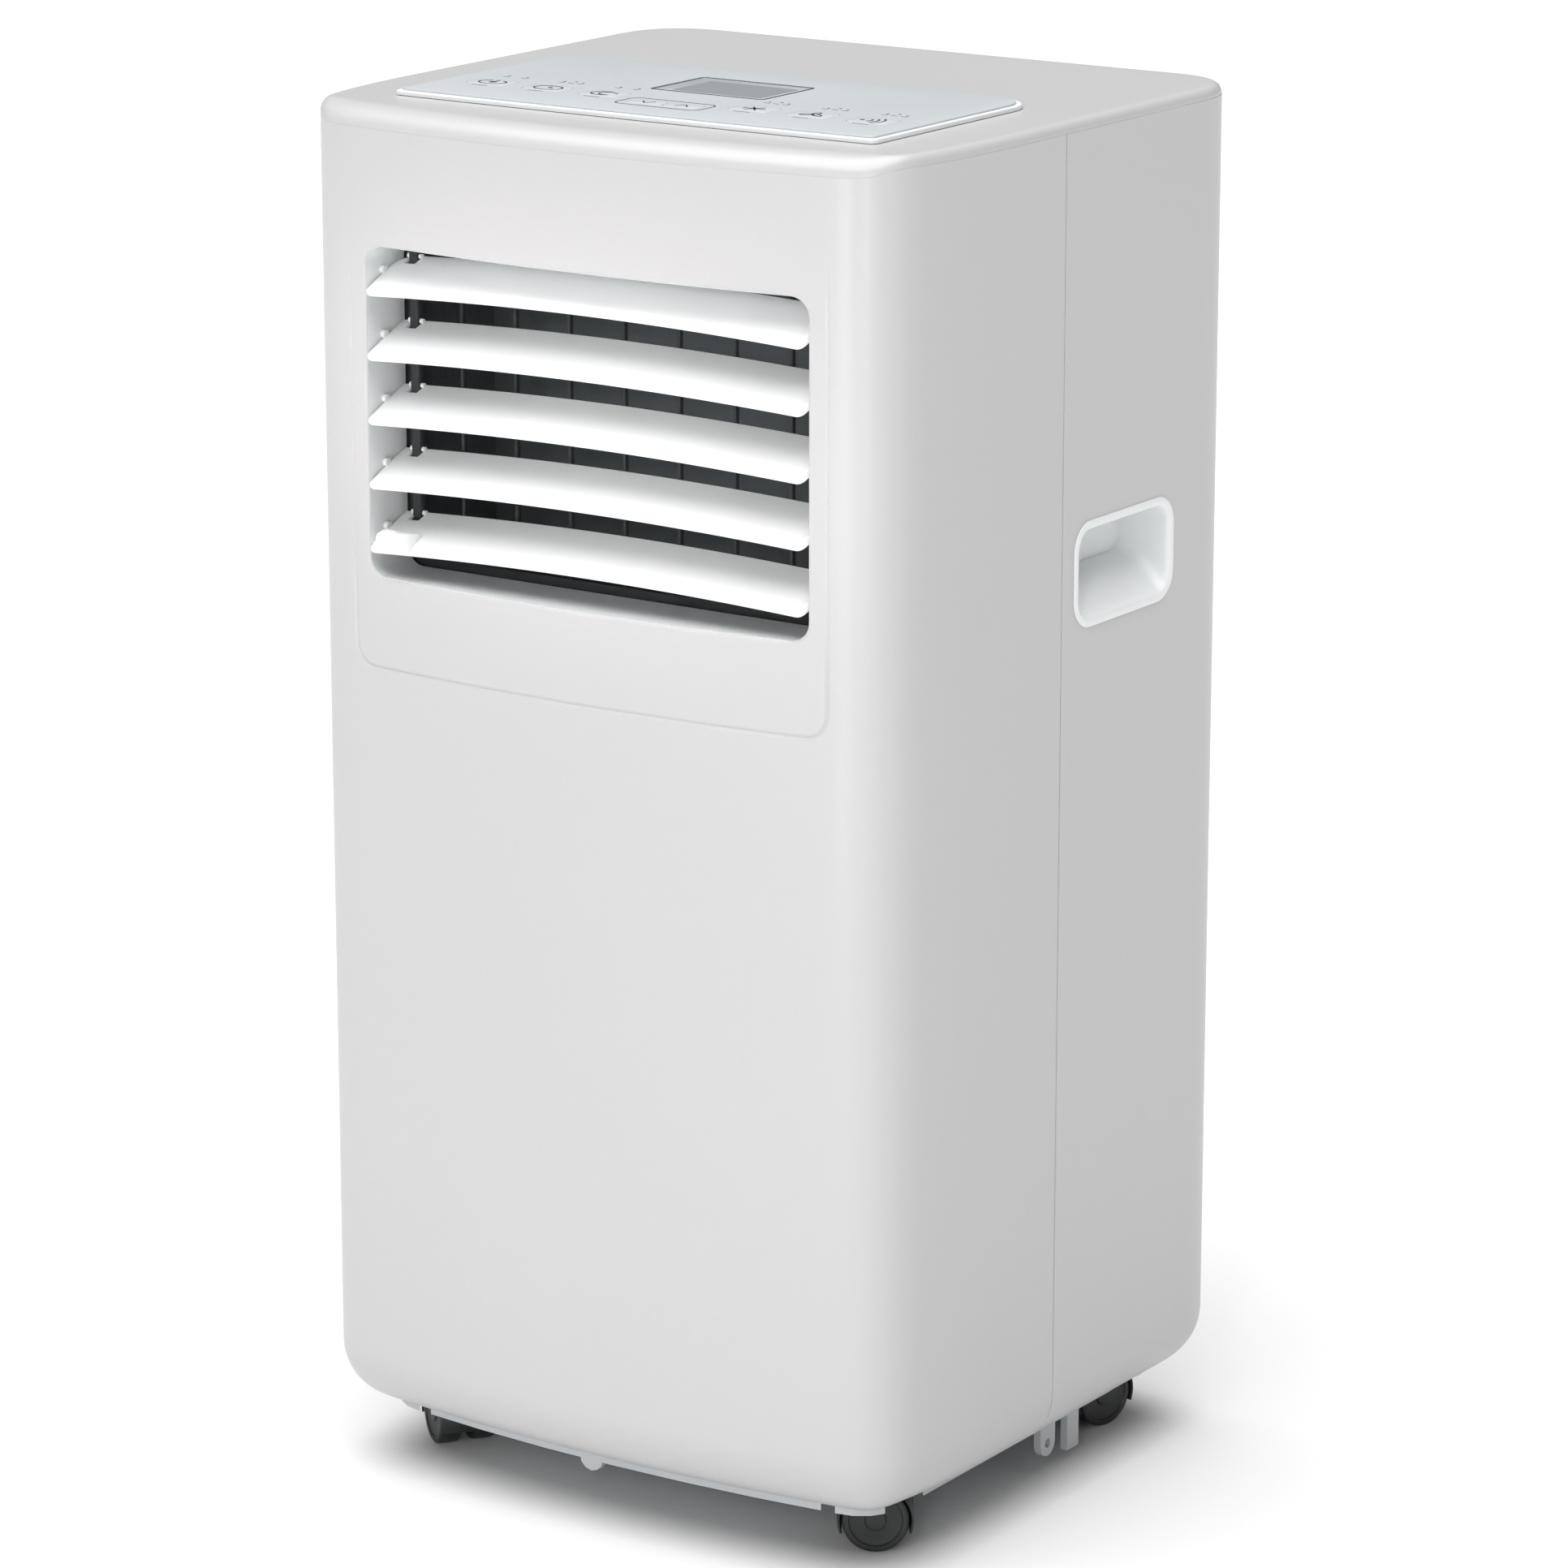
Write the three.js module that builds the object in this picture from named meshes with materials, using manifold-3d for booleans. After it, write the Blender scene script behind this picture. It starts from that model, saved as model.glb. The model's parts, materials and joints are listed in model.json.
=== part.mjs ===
// Portable air conditioner: a tall white cabinet on four twin-wheel casters, with a louvred cold-air
// outlet in the front, a key panel on top, and the cooling circuit inside.
// Millimetres, +Z up. The origin is on the floor under the middle of the cabinet, -Y is the front.
import * as THREE from "three";
import { mergeVertices } from "three/addons/utils/BufferGeometryUtils.js";
import Module from "manifold-3d";

const wasm = await Module();
wasm.setup();

// ---------------------------------------------------------------- driving dimensions
const bodyWidth = 356; // across the side walls
const bodyDepth = 320; // from the front's vertical edges to the rear wall
const frontCrown = 8; // how far the middle of the front stands forward of its edges
const bodyHeight = 671; // casings and top cover together
const underGap = 29; // floor to the lower edge of the casings
const wall = 2.5; // casing walls
const topWall = 3;
const frontCornerR = 50;
const rearCornerR = 40;
const topEdgeSide = 10; // rounding of the top edge, over the sides and the rear
const topEdgeFront = 16; // rounding of the top edge, over the front
const topEdgeDrop = 12; // height of that rounding
const lowerEdgeR = 32; // rounding of the lower edge
const lowerOpening = 26.5; // the casings are open underneath, this far in from their walls
const seamY = -12; // joint between front and rear casings
const coverSkirt = 13.5; // height of the top cover's rounded edge
const fit = 0.3; // clearance between pieces that touch
const running = 0.3; // radial clearance of a pin in its hole

const windowHalf = 129; // cold-air outlet, half width
const windowTall = 164;
const windowDrop = 67; // from the cabinet's top down to the outlet
const windowR = 10;
const revealDepth = 31; // outlet frame, front to rear
const frameWall = 3;
const guardColumns = 8; // spaces between the guard's bars
const guardBar = 1.8;
const ductWall = 3; // cold-air duct
const ductRear = -50; // rear face of that duct

const louvreCount = 5;
const louvreHeadroom = 13.9; // from the highest louvre's axis up to the outlet's edge
const louvreFootroom = 22.7; // from the lowest louvre's axis down to the outlet's edge
const louvreHalfChord = 16;
const louvreRearGap = 1.5; // between a level blade and the outlet frame's rear edge
const louvreTilt = THREE.MathUtils.degToRad(24); // nose down, as left by its owner
const louvreEndGap = 0.8;
const louvreArch = 3.2; // rise of the blade's middle over its ends
const louvrePinR = 2;
const crankPinR = 1.2;
const crankInset = 11; // from the outlet's left wall to the crank pins
const crankArm = 14; // from a louvre's axis to its crank pin
const notchHalf = 3.4; // half width of the notch that the link runs in
const linkSide = 0.8; // clearance of the link in that notch
const linkWidth = 5;
const tabSpan = [5, 26]; // thumb tab on the lowest louvre, from the outlet's left wall

const panelInset = 38; // from the side walls to the raised control plate
const panelFrontInset = 39;
const panelDepth = 145;
const panelRearR = 22;
const panelFrontR = 4;
const panelBow = 1.5; // how far the middle of its front edge stands forward
const plateHeight = 2.2;
const foilHeight = 0.6;
const foilMargin = 2;
const keyRowSetback = 42.5; // from the plate's front edge to the row of keys
const keyPitch = 33.7;
const keySide = [1.3, 2.3, 3.3]; // the row's places, in pitches from the middle
const keyWidth = 23;
const keyDepth = 15;
const keyGap = 0.25;
const keyProud = 0.2;
const keyTravel = 0.4;
const keyStemR = 3;
const pairKeySetback = 31;
const pairKeyWidth = 20;
const pairKeyDepth = 10;
const pairKeyGap = 1.2;
const displayX = [-34, 30];
const displaySetback = [69, 113]; // the display's front and rear edges, from the plate's front edge
const boardThickness = 1.6;
const switchHeight = 4;

const casterInX = 56; // from the side walls to the casters' stems
const casterInY = 58; // from the front's vertical edges, and the rear wall, to the stems
const casterTrail = 7.5;
const wheelR = 17;
const wheelWidth = 12;
const wheelFacets = 20;
const casterWeb = 6; // yoke web between a caster's two wheels
const hoodWall = 1.4;
const hoodGap = 0.6; // between the treads and the hood
const hoodHeadroom = 4.2; // between the hood and the pocket it turns in
const pocketClear = 0.35; // between the hood's sweep and the pocket's wall
const stemR = 4;
const stemHold = 12; // length of the stem in its socket
const trayLow = 26; // underside of the base tray
const trayFlange = 46; // where the tray widens above the casings' rounded lower edge
const trayRim = 75;
const trayWall = 3;

const collarX = 0; // exhaust collar in the rear wall
const collarRise = 82; // of its axis over the deck
const collarR = 65;
const collarWall = 3;
const collarStand = frontCrown; // the collar stands out as far as the front's crown, so the box is centred
const flangeWidth = 7;
const gripY = [1, 89]; // hand grip in each side
const gripTall = 47;
const gripDrop = 200; // from the cabinet's top down to the grips
const gripDepth = 30;
const gripWall = 2;
const gripR = 12;
const grilleTall = 198; // both rear air intakes
const upperGrilleDrop = 32; // from the cabinet's top
const lowerGrilleRise = 59; // from the casings' lower edge
const grilleInset = 43; // from the side walls
const grillePlate = 3.5;
const grilleMargin = 8;
const grilleRows = 9;
const drainHoleR = 8.5;
const glandR = 7;

const deckZ = 300; // top of the deck between the cold and the hot section
const deckWall = 4;
const coilThickness = 26;
const coilSetback = 26; // from the rear wall to the coils' rear faces
const coilPlate = 3; // end plates
const bendReach = 8; // return bends, beyond the end plate
const compressorR = 52;
const compressorLow = 62;
const compressorHigh = 248;
const suctionR = 4.5;
const dischargeR = 3.5;
const scrollWall = 2;
const scrollNear = 6; // from the wheel to the scroll at its narrow start
const scrollFar = 20; // and at its throat
const shaftR = 4;
const exhaustWall = 2;

// ---------------------------------------------------------------- derived places
const halfW = bodyWidth / 2;
const halfD = bodyDepth / 2;
const bodyLow = underGap;
const bodyTop = underGap + bodyHeight;
const coverLow = bodyTop - coverSkirt;
const crownHalf = halfW - frontCornerR;
const windowHigh = bodyTop - windowDrop;
const windowLow = windowHigh - windowTall;
const frameRear = -halfD + revealDepth;
const louvreAxisY = frameRear - louvreRearGap - louvreHalfChord;
const louvreTopAxis = windowHigh - louvreHeadroom;
const louvrePitch = (louvreTopAxis - windowLow - louvreFootroom) / (louvreCount - 1);
const crankX = crankInset - windowHalf;
const plateTop = bodyTop + fit + plateHeight;
const foilTop = plateTop + fit + foilHeight;
const panelHalf = halfW - panelInset;
const panelFront = -halfD + panelFrontInset;
const panelRear = panelFront + panelDepth;
const displayY = displaySetback.map((setback) => panelFront + setback);
const wheelAxleZ = wheelR * Math.cos(Math.PI / wheelFacets); // a flat of the tread rests on the floor
const hoodBore = wheelR + hoodGap;
const hoodR = hoodBore + hoodWall;
const innerFace = casterWeb / 2 + 0.4; // of a wheel, beside the yoke's web
const outerFace = innerFace + wheelWidth;
const pocketR = Math.hypot(casterTrail + hoodR, outerFace) + pocketClear;
const pocketTop = wheelAxleZ + hoodR + hoodHeadroom;
const stemTop = pocketTop + stemHold;
const casterX = halfW - casterInX;
const casterY = halfD - casterInY;
const collarZ = deckZ + collarRise;
const gripZ = [bodyTop - gripDrop - gripTall, bodyTop - gripDrop];
const upperGrille = [bodyTop - upperGrilleDrop - grilleTall, bodyTop - upperGrilleDrop];
const lowerGrille = [bodyLow + lowerGrilleRise, bodyLow + lowerGrilleRise + grilleTall];
const grilleHalf = halfW - grilleInset;
const coilRear = halfD - coilSetback;
const coilFront = coilRear - coilThickness;
const coilHalf = grilleHalf - 9;
const grilleRear = [halfD - grillePlate, halfD];

// ---------------------------------------------------------------- finishes
const finish = (color, roughness, metalness = 0) =>
  new THREE.MeshStandardMaterial({ color, roughness, metalness });
const whiteCasing = finish(0xe4e3e4, 0.42);
const whiteTrim = finish(0xdfe0e0, 0.4);
const louvreWhite = finish(0xe0e1e1, 0.4);
const trayGrey = finish(0xc9ccd1, 0.5);
const foilGrey = finish(0xc3c7c8, 0.35);
const keyGrey = finish(0xc6cacb, 0.35);
const lensGrey = finish(0x9a9fa0, 0.15);
const darkPlastic = finish(0x2f3131, 0.6);
const ductFoam = finish(0x3a3c3d, 0.9);
const boardGreen = finish(0x2b6a44, 0.5);
const coilFins = finish(0xb9c0c6, 0.35, 0.9);
const compressorBlack = finish(0x1e1f21, 0.35, 0.3);
const motorSteel = finish(0x8f9498, 0.4, 0.8);
const copper = finish(0xb56a3c, 0.3, 1);
const capacitorWhite = finish(0xd8d8d2, 0.4);
const filterGrey = finish(0x6d7478, 0.9);
const rubberBlack = finish(0x1b1b1c, 0.8);

// ---------------------------------------------------------------- solids
// A closed geometry as a solid; only its positions matter.
function solid(geometry) {
  const bare = new THREE.BufferGeometry();
  bare.setAttribute("position", geometry.getAttribute("position"));
  if (geometry.index) bare.setIndex(geometry.index);
  const merged = mergeVertices(bare, 1e-4);
  const mesh = new wasm.Mesh({
    numProp: 3,
    vertProperties: new Float32Array(merged.attributes.position.array),
    triVerts: new Uint32Array(merged.index.array),
  });
  return new wasm.Manifold(mesh);
}

function join(...parts) {
  return parts.flat().reduce((sum, part) => sum.add(part));
}

function cut(body, ...tools) {
  return tools.flat().reduce((rest, tool) => rest.subtract(tool), body);
}

function box([x0, x1], [y0, y1], [z0, z1]) {
  const geometry = new THREE.BoxGeometry(x1 - x0, y1 - y0, z1 - z0);
  geometry.translate((x0 + x1) / 2, (y0 + y1) / 2, (z0 + z1) / 2);
  return solid(geometry);
}

// A round bar or drum between two ends along one axis; the first coordinates are its centre line.
function drum(axis, [a, b], radius, [low, high], segments = 20) {
  const geometry = new THREE.CylinderGeometry(radius, radius, high - low, segments);
  const middle = (low + high) / 2;
  if (axis === "x") geometry.rotateZ(-Math.PI / 2).translate(middle, a, b);
  if (axis === "y") geometry.translate(a, middle, b);
  if (axis === "z") geometry.rotateX(Math.PI / 2).translate(a, b, middle);
  return solid(geometry);
}

// An outline in X and Y, raised from low to high.
function prism(outline, [low, high], curveSegments = 4) {
  const geometry = new THREE.ExtrudeGeometry(outline, {
    depth: high - low,
    bevelEnabled: false,
    curveSegments,
  });
  return solid(geometry.translate(0, 0, low));
}

// An outline in X and Z, carried from y = low to y = high.
function prismAlongY(outline, [low, high], curveSegments = 3) {
  const geometry = new THREE.ExtrudeGeometry(outline, {
    depth: high - low,
    bevelEnabled: false,
    curveSegments,
  });
  return solid(geometry.rotateX(Math.PI / 2).translate(0, high, 0));
}

// A turned body about a vertical axis, from a profile of [radius, height] that closes on the axis.
function turned(profile, [x, y], segments = 18) {
  const points = profile.map(([r, z]) => new THREE.Vector2(r, z));
  const geometry = new THREE.LatheGeometry(points, segments);
  return solid(geometry.rotateX(Math.PI / 2).translate(x, y, 0));
}

function roundedRect([x0, x1], [y0, y1], r) {
  const shape = new THREE.Shape();
  shape.moveTo(x0 + r, y0);
  shape.lineTo(x1 - r, y0);
  shape.absarc(x1 - r, y0 + r, r, -Math.PI / 2, 0, false);
  shape.lineTo(x1, y1 - r);
  shape.absarc(x1 - r, y1 - r, r, 0, Math.PI / 2, false);
  shape.lineTo(x0 + r, y1);
  shape.absarc(x0 + r, y1 - r, r, Math.PI / 2, Math.PI, false);
  shape.lineTo(x0, y0 + r);
  shape.absarc(x0 + r, y0 + r, r, Math.PI, 1.5 * Math.PI, false);
  return shape;
}

// ---------------------------------------------------------------- the cabinet's own form
// Plan outline, anticlockwise from the front left, drawn in by its own amount at front, sides and rear.
function planOutline({ front, side, rear }) {
  const points = [];
  const crownSteps = 6;
  const cornerSteps = 4;
  for (let i = 0; i < crownSteps; i++) {
    const t = (2 * i) / crownSteps - 1;
    points.push([t * crownHalf, -halfD + front - frontCrown * (1 - t * t)]);
  }
  const corner = (sx, sy, r, inset, from) => {
    const rx = Math.max(r - side, 0.5);
    const ry = Math.max(r - inset, 0.5);
    for (let i = 0; i <= cornerSteps; i++) {
      const a = from + ((Math.PI / 2) * i) / cornerSteps;
      const x = sx * (halfW - r) + rx * Math.cos(a);
      const y = sy * (halfD - r) + ry * Math.sin(a);
      points.push([x, y]);
    }
  };
  corner(1, -1, frontCornerR, front, -Math.PI / 2);
  corner(1, 1, rearCornerR, rear, 0);
  corner(-1, 1, rearCornerR, rear, Math.PI / 2);
  corner(-1, -1, frontCornerR, front, Math.PI);
  points.pop();
  return points;
}

// A solid through plan outlines at rising heights.
function stack(levels) {
  const rings = levels.map(({ z, ...inset }) => planOutline(inset).map(([x, y]) => [x, y, z]));
  const n = rings[0].length;
  const positions = rings.flat(2);
  const index = [];
  for (let k = 0; k + 1 < rings.length; k++) {
    for (let i = 0; i < n; i++) {
      const a = k * n + i;
      const b = k * n + ((i + 1) % n);
      index.push(a, b, b + n, a, b + n, a + n);
    }
  }
  const foot = rings.length * n;
  positions.push(0, 0, levels[0].z, 0, 0, levels[levels.length - 1].z);
  const last = (rings.length - 1) * n;
  for (let i = 0; i < n; i++) {
    const j = (i + 1) % n;
    index.push(foot, j, i, foot + 1, last + i, last + j);
  }
  const geometry = new THREE.BufferGeometry();
  geometry.setAttribute("position", new THREE.Float32BufferAttribute(positions, 3));
  geometry.setIndex(index);
  return solid(geometry);
}

// A block with the cabinet's plan, drawn in evenly.
function planBlock(inset, low, high) {
  return stack([low, high].map((z) => ({ z, front: inset, side: inset, rear: inset })));
}

// The cabinet's envelope, drawn in evenly by the given depth: 0 is the outer skin.
function envelope(depth, topDepth = depth) {
  const levels = [];
  const steps = 3;
  for (let i = 0; i <= steps; i++) {
    const a = ((Math.PI / 2) * i) / steps;
    const inset = depth + (lowerEdgeR - depth) * (1 - Math.sin(a));
    const z = bodyLow + lowerEdgeR - (lowerEdgeR - depth) * Math.cos(a);
    levels.push({ z, front: inset, side: inset, rear: inset });
  }
  for (let i = 0; i <= steps; i++) {
    const a = ((Math.PI / 2) * i) / steps;
    const sideIn = depth + (topEdgeSide - depth) * (1 - Math.cos(a));
    const frontIn = depth + (topEdgeFront - depth) * (1 - Math.cos(a));
    const z = bodyTop - topEdgeDrop + (topEdgeDrop - topDepth) * Math.sin(a);
    levels.push({ z, front: frontIn, side: sideIn, rear: sideIn });
  }
  return stack(levels);
}

const outerSkin = envelope(0);
const innerSkin = envelope(wall, topWall);
const fitInside = envelope(wall + fit, topWall + fit);
const underside = planBlock(lowerOpening, bodyLow - 5, bodyLow + wall + 6);
const shell = cut(outerSkin, innerSkin, underside);
const far = 2 * bodyHeight; // past every face
const wide = [-far, far];

const windowOutline = (grow) => {
  const x = [-windowHalf - grow, windowHalf + grow];
  return roundedRect(x, [windowLow - grow, windowHigh + grow], windowR + grow);
};

function frontCasing() {
  const region = box(wide, [-far, seamY - fit / 2], [0, coverLow - fit]);
  const opening = prismAlongY(windowOutline(0), [-far, seamY - 60]);
  return cut(shell.intersect(region), opening);
}

function gripOutline(grow) {
  const y = [gripY[0] - grow, gripY[1] + grow];
  return roundedRect(y, [gripZ[0] - grow, gripZ[1] + grow], gripR + grow);
}

// An outline in Y and Z, carried from x = low to x = high.
function prismAlongX(outline, [low, high], curveSegments = 3) {
  const geometry = new THREE.ExtrudeGeometry(outline, {
    depth: high - low,
    bevelEnabled: false,
    curveSegments,
  });
  geometry.rotateX(Math.PI / 2).rotateZ(Math.PI / 2);
  return solid(geometry.translate(low, 0, 0));
}

const drainPlaces = {
  upper: [66 - halfW, deckZ + 30],
  lower: [halfW - 66, bodyLow + 33],
};
const glandPlace = [60 - halfW, bodyLow + 33];

function rearCasing() {
  const region = box(wide, [seamY + fit / 2, far], [0, coverLow - fit]);
  const rearCut = [halfD - 12, far];
  const intake = ([low, high]) => box([-grilleHalf, grilleHalf], rearCut, [low, high]);
  const grips = prismAlongX(gripOutline(fit), wide);
  return cut(
    shell.intersect(region),
    intake(upperGrille),
    intake(lowerGrille),
    grips,
    drum("y", [collarX, collarZ], collarR + fit, rearCut, 28),
    drum("y", drainPlaces.upper, drainHoleR, rearCut, 12),
    drum("y", drainPlaces.lower, drainHoleR, rearCut, 12),
    drum("y", glandPlace, glandR, rearCut, 12),
  );
}

function topCover() {
  const ledge = 12; // what the control plate rests on
  const region = box(wide, wide, [coverLow, far]);
  const across = [ledge - panelHalf, panelHalf - ledge];
  const opening = box(across, [panelFront + ledge - 2, panelRear - ledge + 2], [coverLow, far]);
  return cut(shell.intersect(region), opening);
}

// ---------------------------------------------------------------- base tray
const trayInset = lowerOpening + 1;
const pocketCap = 3;
const socketWall = 5;
const casterPlaces = [
  { place: "front_left", sx: -1, sy: -1, heading: 143 },
  { place: "front_right", sx: 1, sy: -1, heading: 34 },
  { place: "rear_left", sx: -1, sy: 1, heading: 115 },
  { place: "rear_right", sx: 1, sy: 1, heading: 72 },
];

function baseTray() {
  const wideInset = wall + 5.5;
  const lowerTub = planBlock(trayInset, trayLow, trayFlange + trayWall);
  const upperTub = planBlock(wideInset, trayFlange, trayRim);
  const hollow = join(
    planBlock(trayInset + trayWall, trayLow + trayWall, trayRim + 1),
    planBlock(wideInset + trayWall, trayFlange + trayWall, trayRim + 1),
  );
  const outer = join(lowerTub, upperTub);
  let tray = cut(outer, hollow);
  for (const { sx, sy } of casterPlaces) {
    const centre = [sx * casterX, sy * casterY];
    const pocketWall = drum("z", centre, pocketR + trayWall, [trayLow, pocketTop + pocketCap], 12);
    const socket = drum("z", centre, stemR + socketWall, [pocketTop, stemTop + 4], 8);
    tray = join(tray, pocketWall.intersect(outer), socket);
    tray = cut(
      tray,
      drum("z", centre, pocketR + 1, [trayLow - 1, pocketTop], 12),
      drum("z", centre, stemR + running, [trayLow - 1, stemTop + 1], 10),
    );
  }
  return join(tray, [-1, 1].map(trayLugs), trayTab());
}

// An eye and a plain lug hang under each side of the tray.
function trayLugs(side) {
  const middle = side * (halfW - trayInset - 3);
  const across = [middle - 2, middle + 2];
  const [eyeY, eyeZ, eyeR] = [30, trayLow - 10, 7];
  const eye = join(
    drum("x", [eyeY, eyeZ], eyeR, across, 12),
    box(across, [eyeY - eyeR, eyeY + eyeR], [eyeZ, trayLow + 1]),
  );
  const eyeHole = drum("x", [eyeY, eyeZ], 2.6, [across[0] - 1, across[1] + 1], 8);
  const plainLug = box(across, [49, 60], [trayLow - 20, trayLow + 1]);
  return join(cut(eye, eyeHole), plainLug);
}

// A half-round tab shows under the front's lower edge.
function trayTab() {
  const y = -halfD - frontCrown + trayInset;
  return drum("y", [-14.5, trayLow + 1], 7, [y + 1, y + 5], 12);
}

// ---------------------------------------------------------------- casters
// Built with the stem on the Z axis and the wheels trailing towards +X.
const wheelAxle = [casterTrail, wheelAxleZ];
const axleR = 2.5;
const hoodLow = 10; // the hood's lower edge
const swivelR = 6.5;

function casterYoke() {
  const webR = 9;
  const webY = [-casterWeb / 2, casterWeb / 2];
  const hood = cut(
    drum("y", wheelAxle, hoodR, [-outerFace, outerFace], 16),
    drum("y", wheelAxle, hoodBore, [-outerFace - 1, outerFace + 1], 16),
    box(wide, wide, [-far, hoodLow]),
  );
  const web = join(
    drum("y", wheelAxle, webR, webY, 10),
    box([casterTrail - webR, casterTrail + webR], webY, [wheelAxleZ, wheelAxleZ + hoodBore + 0.5]),
  );
  const swivel = cut(
    drum("z", [0, 0], swivelR, [wheelAxleZ + 11, pocketTop - 0.8], 10),
    drum("y", wheelAxle, hoodBore, [-outerFace, outerFace], 16),
  );
  const stem = drum("z", [0, 0], stemR, [pocketTop - 3, stemTop], 10);
  const bore = drum("y", wheelAxle, axleR + running, [-casterWeb, casterWeb], 10);
  return cut(join(hood, web, swivel, stem), bore);
}

function casterWheels() {
  const dishDepth = 1.5;
  const disc = (low, high) => {
    const tread = new THREE.CylinderGeometry(wheelR, wheelR, high - low, wheelFacets);
    tread.rotateY(Math.PI / wheelFacets); // a flat, not an edge, points down
    return solid(tread.translate(casterTrail, (low + high) / 2, wheelAxleZ));
  };
  const dish = (low, high) => drum("y", wheelAxle, wheelR - 4, [low, high], 12);
  return cut(
    join(
      disc(-outerFace, -innerFace),
      disc(innerFace, outerFace),
      drum("y", wheelAxle, axleR, [-innerFace - 1, innerFace + 1], 10),
    ),
    dish(outerFace - dishDepth, outerFace + 1),
    dish(-outerFace - 1, -outerFace + dishDepth),
  );
}

// ---------------------------------------------------------------- outlet, louvres and their link
const louvreAxisZ = (i) => louvreTopAxis - i * louvrePitch;
const louvreIndex = [...Array(louvreCount).keys()];

function outletFrame() {
  const depth = [-far, frameRear];
  const bore = prismAlongY(windowOutline(0), [-far - 1, 0]);
  const tube = cut(prismAlongY(windowOutline(frameWall), depth), bore);
  const holes = louvreIndex.map((i) =>
    drum("x", [louvreAxisY, louvreAxisZ(i)], louvrePinR + running, [-far, far], 8),
  );
  return cut(tube.intersect(fitInside), holes);
}

// The blade's section in Y and Z about its axis, nose towards -Y, before it is tilted.
const bladeTop = 2.2;
const bladeUnder = -1;
const lipDepth = 3.2; // the nose turns down this far
const bladeSection = [
  [-louvreHalfChord, 0.2], [1 - louvreHalfChord, 1.3], [0, bladeTop],
  [louvreHalfChord, 0.9], [louvreHalfChord, -0.5], [0, bladeUnder],
  [3 - louvreHalfChord, -1.6], [1.6 - louvreHalfChord, -lipDepth],
  [0.5 - louvreHalfChord, -lipDepth], [-louvreHalfChord, 0.6 - lipDepth],
];
const bladeReach = windowHalf - louvreEndGap;

// The section swept from wall to wall, with its middle arched up.
function sweepBlade() {
  const steps = 6;
  const n = bladeSection.length;
  const positions = [];
  for (let k = 0; k <= steps; k++) {
    const t = (2 * k) / steps - 1;
    const rise = louvreArch * (0.4 - t * t);
    for (const [y, z] of bladeSection) positions.push(t * bladeReach, y, z + rise);
  }
  const index = [];
  for (let k = 0; k < steps; k++) {
    for (let i = 0; i < n; i++) {
      const a = k * n + i;
      const b = k * n + ((i + 1) % n);
      index.push(a, a + n, b + n, a, b + n, b);
    }
  }
  const contour = bladeSection.map(([y, z]) => new THREE.Vector2(y, z));
  const end = steps * n;
  for (const [a, b, c] of THREE.ShapeUtils.triangulateShape(contour, [])) {
    index.push(a, c, b, end + a, end + b, end + c);
  }
  const geometry = new THREE.BufferGeometry();
  geometry.setAttribute("position", new THREE.Float32BufferAttribute(positions, 3));
  geometry.setIndex(index);
  return solid(geometry);
}

function louvre(withTab) {
  const pinEnd = windowHalf + frameWall - 0.5;
  const notchX = [crankX - notchHalf, crankX + notchHalf];
  const notch = box(notchX, [crankArm - 8, crankArm + 10], [-8, 8]);
  const crankPin = drum("x", [crankArm, 0], crankPinR, [notchX[0] - 1, notchX[1] + 1], 8);
  const pins = [
    drum("x", [0, 0], louvrePinR, [-pinEnd, 3 - bladeReach], 8),
    drum("x", [0, 0], louvrePinR, [bladeReach - 3, pinEnd], 8),
  ];
  const blade = join(cut(sweepBlade(), notch), crankPin, pins);
  return withTab ? join(blade, thumbTab()) : blade;
}

function thumbTab() {
  const front = -louvreHalfChord - 1;
  const profile = new THREE.Shape();
  profile.moveTo(front, -1.5);
  profile.lineTo(front + 13, -1.5);
  profile.lineTo(front + 9, 6);
  profile.lineTo(front + 2, 8);
  profile.lineTo(front, 6.5);
  return prismAlongX(profile, tabSpan.map((x) => x - windowHalf));
}

// A bar that joins the crank pins, so that all the louvres tilt together.
function louvreLink() {
  const y = louvreAxisY + crankArm * Math.cos(louvreTilt);
  const rise = crankArm * Math.sin(louvreTilt);
  const pinZ = louvreIndex.map((i) => louvreAxisZ(i) + rise);
  const linkHalf = notchHalf - linkSide;
  const across = [crankX - linkHalf, crankX + linkHalf];
  const half = linkWidth / 2;
  const bar = box(across, [y - half, y + half], [pinZ[louvreCount - 1] - half, pinZ[0] + half]);
  const holeR = crankPinR + running;
  return cut(bar, pinZ.map((z) => drum("x", [y, z], holeR, [across[0] - 1, across[1] + 1], 8)));
}

// A guard of upright bars behind the louvres.
function outletGuard() {
  const depth = [frameRear + 3, frameRear + 6];
  const through = [depth[0] - 1, depth[1] + 1];
  const bars = [];
  for (let i = 1; i < guardColumns; i++) {
    const x = windowHalf * ((2 * i) / guardColumns - 1);
    bars.push(box([x - guardBar / 2, x + guardBar / 2], depth, [windowLow - 1, windowHigh + 1]));
  }
  const rim = cut(prismAlongY(windowOutline(0.5), depth), prismAlongY(windowOutline(-4), through));
  return join(rim, bars);
}

function outletDuct() {
  const w = windowHalf + 2;
  const [low, high] = [windowLow - 3, windowHigh + 3];
  const outer = box(
    [-w - ductWall, w + ductWall],
    [frameRear + fit, ductRear],
    [low - ductWall, high + ductWall],
  );
  const inner = box([-w, w], [frameRear - 1, ductRear - ductWall], [low, high]);
  const throatY = [coldWheel.volute[0] + 1, coldWheel.volute[1] - 1];
  const throat = box(blowerThroat(coldWheel), throatY, [windowLow - 20, windowLow]);
  return cut(outer, inner, throat);
}

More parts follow.
